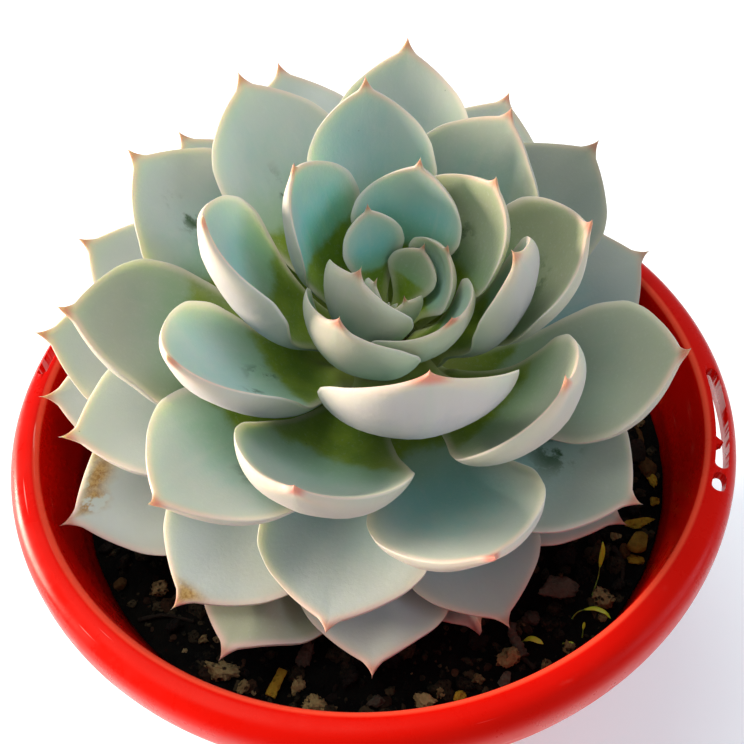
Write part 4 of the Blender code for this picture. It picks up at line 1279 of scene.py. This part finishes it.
BITS = [  # x, y, long, wide, high, turn, tone, kind
    (-48.4, -37.5, 5.6, 4.0, 3.2, 10, 0.75, "porous"), (-58.6, -36.2, 3.6, 3.0, 2.4, 40, 0.4, "chip"),
    (-37.6, -49.3, 2.6, 2.2, 1.8, 0, 0.5, "porous"), (-33.7, -57.1, 8.2, 4.6, 4.4, -12, 0.7, "porous"),
    (-28.6, -59.6, 3.8, 3.0, 2.6, 30, 0.5, "tan"), (-18.3, -60.0, 4.4, 3.4, 3.2, 70, 0.8, "tan"),
    (-14.6, -64.2, 6.6, 3.8, 3.4, -8, 0.8, "porous"), (-16.4, -53.5, 7.0, 3.4, 3.0, 60, 0.5, "greyst"),
    (-20.5, -50.0, 3.2, 2.2, 2.0, 20, 0.6, "greyst"), (-2.8, -63.8, 4.6, 3.0, 2.6, 15, 0.45, "greyst"),
    (6.4, -64.5, 5.6, 3.2, 3.0, -14, 0.95, "tan"), (9.8, -62.9, 3.0, 2.6, 2.2, 40, 0.5, "porous"),
    (13.4, -63.9, 3.0, 2.2, 2.0, 10, 0.9, "yellow"), (17.6, -60.8, 3.2, 2.6, 2.2, 0, 0.3, "porous"),
    (52.8, -37.6, 4.2, 2.6, 2.4, 75, 0.5, "chip"), (52.0, -33.4, 3.0, 2.4, 2.0, 0, 0.75, "tan"),
    (60.0, -31.6, 7.4, 3.0, 2.6, 6, 0.75, "yellow"), (65.7, -27.0, 3.2, 2.4, 2.2, 60, 0.6, "yellow"),
    (66.9, -20.6, 4.6, 2.4, 2.0, 85, 0.9, "yellow"), (67.6, 3.0, 3.4, 2.2, 2.0, 80, 0.8, "yellow"),
    (64.4, -16.8, 6.4, 4.2, 3.0, 80, 0.5, "chip"), (66.0, -3.8, 3.4, 2.4, 2.0, 20, 0.4, "porous"),
    (30.4, -49.6, 4.6, 4.0, 3.0, 60, 0.3, "greyst"), (47.6, -33.0, 5.4, 3.2, 2.8, 70, 0.2, "dark"),
    (49.4, -44.6, 3.4, 2.6, 2.2, 10, 0.3, "dark"), (58.0, -27.0, 4.0, 3.0, 2.4, 40, 0.3, "dark"),
    (36.0, -57.0, 3.6, 3.2, 2.6, 10, 0.4, "porous"), (31.0, -59.8, 3.0, 2.6, 2.4, 10, 0.35, "porous"),
    (57.6, -41.4, 4.2, 2.6, 2.2, -30, 0.45, "yellow"), (45.8, -53.0, 2.8, 2.2, 2.0, 0, 0.3, "tan"),
    (0.8, -56.0, 4.0, 3.0, 2.6, 0, 0.2, "dark"), (40.5, -37.0, 6.6, 4.2, 3.2, 20, 0.15, "dark"),
    (-44.0, -46.0, 4.0, 3.2, 2.6, 0, 0.1, "dark"), (-27.0, -49.0, 4.6, 3.4, 2.8, 30, 0.15, "dark"),
    (-8.0, -59.5, 5.2, 3.8, 3.0, 45, 0.15, "dark"), (19.0, -52.6, 5.6, 4.0, 3.0, 15, 0.15, "dark"),
    (62.4, -6.4, 5.0, 3.2, 2.6, 60, 0.3, "dark"), (61.0, 6.0, 4.6, 3.2, 2.4, 100, 0.3, "dark"),
    (-62.0, -27.0, 4.0, 3.0, 2.4, 10, 0.2, "dark"), (22.8, -61.6, 3.6, 2.6, 2.4, 60, 0.6, "greyst"),
]
KIND = {"porous": (mat_porous, "pale_stone", 0.75, 0.34), "chip": (mat_chip, "bark", 0.0, 0.12),
        "tan": (mat_tan, "pale_stone", 0.5, 0.28), "greyst": (mat_greyst, "grey_stone", 0.3, 0.22),
        "yellow": (mat_yellow, "olive_stone", 0.1, 0.20), "dark": (mat_dark, "bark", 0.3, 0.30)}
for i, (x, y, a, b, c, turn, tone, kind) in enumerate(BITS):
    m, sl, pit, rg = KIND[kind]
    reach = 69.4 - max(a, b) / 2                              # keep each bit inside the wall of the pot
    if math.hypot(x, y) > reach:
        x, y = x * reach / math.hypot(x, y), y * reach / math.hypot(x, y)
    lump("soil_bit_%02d" % i, m, x, y, a, b, c, turn, tone, 100 + i, sl, pits=pit, rough=rg, level=4,
         tilt=(i * 37 % 24) - 12)


# ====================================================================== build: twigs and seedlings
def sweep(points, radii, sides=10, flat=1.0, normal=(0, 0, 1)):
    """Closed tube along points (mm); flat < 1 squeezes it along the normal."""
    p = np.array(points, float)
    n = len(p)
    verts = []
    up = np.array(normal, float)
    for i in range(n):
        t = p[min(i + 1, n - 1)] - p[max(i - 1, 0)]
        t /= np.linalg.norm(t)
        b = np.cross(t, up)
        b /= np.linalg.norm(b)
        c = np.cross(b, t)
        for k in range(sides):
            q = 2 * math.pi * k / sides
            verts.append(p[i] + radii[i] * (b * math.cos(q) + c * math.sin(q) * flat))
    faces = []
    for i in range(n - 1):
        for k in range(sides):
            k2 = (k + 1) % sides
            faces.append((i * sides + k, i * sides + k2, (i + 1) * sides + k2, (i + 1) * sides + k))
    faces.append(tuple(range(sides))[::-1])
    faces.append(tuple((n - 1) * sides + k for k in range(sides)))
    return np.array(verts), faces


def smooth_line(points, per=8):
    p = np.array(points, float)
    p = np.concatenate([2 * p[:1] - p[1:2], p, 2 * p[-1:] - p[-2:-1]])
    out = []
    for i in range(1, len(p) - 2):
        for k in range(per):
            t = k / per
            out.append(0.5 * ((2 * p[i]) + (-p[i - 1] + p[i + 1]) * t + (2 * p[i - 1] - 5 * p[i] + 4 * p[i + 1] - p[i + 2]) * t * t
                              + (-p[i - 1] + 3 * p[i] - 3 * p[i + 1] + p[i + 2]) * t**3))
    out.append(p[-2])
    return np.array(out)


def seedling(name, stem, leaflets):
    verts, faces, tones, off = [], [], [], 0
    line = smooth_line(stem)
    m = len(line)
    v, f = sweep(line, [0.16 * (1 - 0.45 * i / m) for i in range(m)], 8)
    verts.append(v)
    faces += f
    tones.append(np.full(len(v), 0.25))
    off += len(v)
    for pts, width in leaflets:
        line = smooth_line(pts)
        m = len(line)
        w = [width * max(math.sin(math.pi * min(i / (m - 1) * 0.92 + 0.06, 1.0))**0.8, 0.06) for i in range(m)]
        v, f = sweep(line, w, 12, 0.22)
        verts.append(v)
        faces += [tuple(i + off for i in q) for q in f]
        tones.append(np.full(len(v), 0.85))
        off += len(v)
    ob = new_piece(name, np.concatenate(verts), faces, mat_sprout, None,
                   {"tone": ("FLOAT", np.concatenate(tones))})
    face_out(ob)


def at(x, y, up):
    return (x, y, on_soil(x, y) + up)


seedling("seedling_a", [at(43.6, -46.4, -0.4), at(44.4, -44.9, 0.9), at(45.4, -43.2, 2.2), at(46.0, -41.4, 4.2)],
         [([at(46.0, -41.4, 4.1), at(46.3, -40.4, 5.6), at(46.5, -39.4, 7.2), at(46.5, -38.3, 8.0)], 0.55)])
seedling("seedling_b", [at(37.8, -51.2, -0.3), at(39.4, -49.9, 1.2), at(41.0, -49.5, 1.9)],
         [([at(41.0, -49.5, 1.9), at(42.8, -49.9, 2.4), at(44.6, -51.0, 2.3), at(45.6, -52.2, 1.7)], 0.5)])
seedling("seedling_c", [at(27.0, -54.2, -0.3), at(28.0, -54.0, 0.9)],
         [([at(28.0, -54.0, 0.9), at(29.2, -54.2, 1.5), at(30.6, -55.0, 1.5), at(31.4, -55.6, 1.2)], 0.6)])
seedling("seedling_d", [at(39.6, -54.8, -0.3), at(39.8, -53.6, 1.6)],
         [([at(39.8, -53.6, 1.5), at(40.0, -53.0, 2.4), at(40.1, -52.6, 3.1)], 0.3)])
seedling("seedling_e", [at(35.2, -55.6, -0.3), at(36.0, -55.8, 0.8)],
         [([at(36.0, -55.8, 0.8), at(36.8, -56.0, 1.2), at(37.6, -56.4, 1.2)], 0.3)])


def twig(name, pts, r0, r1, mat, tone, wobble=0.12, flat=1.0):
    line = smooth_line(pts, 10)
    m = len(line)
    rad = [r0 + (r1 - r0) * i / (m - 1) for i in range(m)]
    rad = [r * (1 + wobble * math.sin(i * 1.3 + r0 * 9)) for i, r in enumerate(rad)]
    v, f = sweep(line, rad, 14, flat)
    v = v + 0.10 * r0 * np.stack([fbm(v * 0.9 + 3 * k, 3, 60 + k) for k in range(3)], -1)
    ob = new_piece(name, v, f, mat, None, {"tone": ("FLOAT", np.full(len(v), tone))})
    face_out(ob)


twig("straw_yellow", [at(-23.4, -62.0, 0.9), at(-22.2, -59.6, 1.5), at(-21.0, -56.9, 1.9)], 1.15, 0.95, mat_yellow, 0.65,
     0.04, 0.45)
twig("twig_grey", [at(26.9, -57.4, 1.1), at(26.5, -55.2, 1.7), at(25.8, -52.6, 2.0), at(26.2, -50.6, 2.4)], 1.5, 0.7,
     mat_greyst, 0.5)
twig("twig_curved", [at(29.0, -60.0, 0.3), at(27.0, -57.6, 0.9), at(24.6, -57.2, 1.0), at(23.2, -55.0, 0.9)], 0.5, 0.3,
     mat_dark, 0.6)
twig("twig_right", [at(50.6, -36.0, 0.7), at(51.4, -39.0, 1.0), at(51.0, -42.4, 0.9), at(49.4, -45.6, 0.5)], 0.6, 0.35,
     mat_dark, 0.7)
twig("twig_left", [at(-52.0, -44.0, 0.4), at(-46.0, -43.6, 0.9), at(-40.0, -45.4, 0.6)], 0.45, 0.3, mat_dark, 0.5)
twig("twig_side", [at(64.6, -11.0, 0.8), at(65.0, -7.0, 1.0), at(64.0, -2.0, 0.7)], 0.7, 0.4, mat_chip, 0.5)


# ====================================================================== stage, light and camera
def stage():
    me = bpy.data.meshes.new("floor")
    s = 6.0
    me.from_pydata([(-s, -s, 0), (s, -s, 0), (s, s, 0), (-s, s, 0)], [], [(0, 1, 2, 3)])
    ob = bpy.data.objects.new("floor", me)
    bpy.context.scene.collection.objects.link(ob)
    me.materials.append(floor_material())


def softbox(name, az, el, dist, size, strength, colour):
    """Area light round the plant. az 0 stands in front (-Y), 90 to the right (+X). strength is E / pi."""
    a, e = math.radians(az), math.radians(el)
    target = Vector((0, 0, 0.12))
    d = Vector((math.sin(a) * math.cos(e), -math.cos(a) * math.cos(e), math.sin(e)))
    li = bpy.data.lights.new(name, "AREA")
    li.shape = "DISK"
    li.size = size
    li.energy = strength * math.pi * math.pi * dist * dist
    li.color = colour
    ob = bpy.data.objects.new(name, li)
    ob.location = target + d * dist
    ob.rotation_mode = "QUATERNION"
    ob.rotation_quaternion = d.to_track_quat("Z", "Y")
    bpy.context.scene.collection.objects.link(ob)


def lights():
    w = bpy.data.worlds.new("studio")
    bpy.context.scene.world = w
    w.use_nodes = True
    bg = w.node_tree.nodes["Background"]
    bg.inputs["Color"].default_value = (0.72, 0.89, 0.98, 1)
    bg.inputs["Strength"].default_value = 0.54
    softbox("key_left", -100, 13, 1.4, 0.50, 2.60, (1.0, 0.89, 0.76))
    softbox("fill_right", 72, 24, 1.6, 0.8, 0.26, (0.66, 0.74, 1.0))
    softbox("top_soft", -120, 70, 1.8, 1.0, 0.34, (0.94, 1.0, 0.98))


def camera():
    el, roll = math.radians(48.89), math.radians(-4.44)
    back = Vector((0, -math.cos(el), math.sin(el)))
    right = Vector((1, 0, 0))
    up = Vector((0, math.sin(el), math.cos(el)))
    r2 = right * math.cos(roll) + up * math.sin(roll)
    u2 = -right * math.sin(roll) + up * math.cos(roll)
    m = Matrix((r2, u2, back)).transposed().to_4x4()
    m.translation = Vector((0.00128, -0.11116, 0.24522))
    cam = bpy.data.cameras.new("camera")
    cam.sensor_width = 36
    cam.lens = 36 * 746 / 744
    cam.clip_start = 0.01
    cam.clip_end = 50
    ob = bpy.data.objects.new("camera", cam)
    ob.matrix_world = m
    bpy.context.scene.collection.objects.link(ob)
    bpy.context.scene.camera = ob


stage()
lights()
camera()
bpy.context.scene.view_settings.view_transform = "Standard"
bpy.context.scene.view_settings.look = "None"
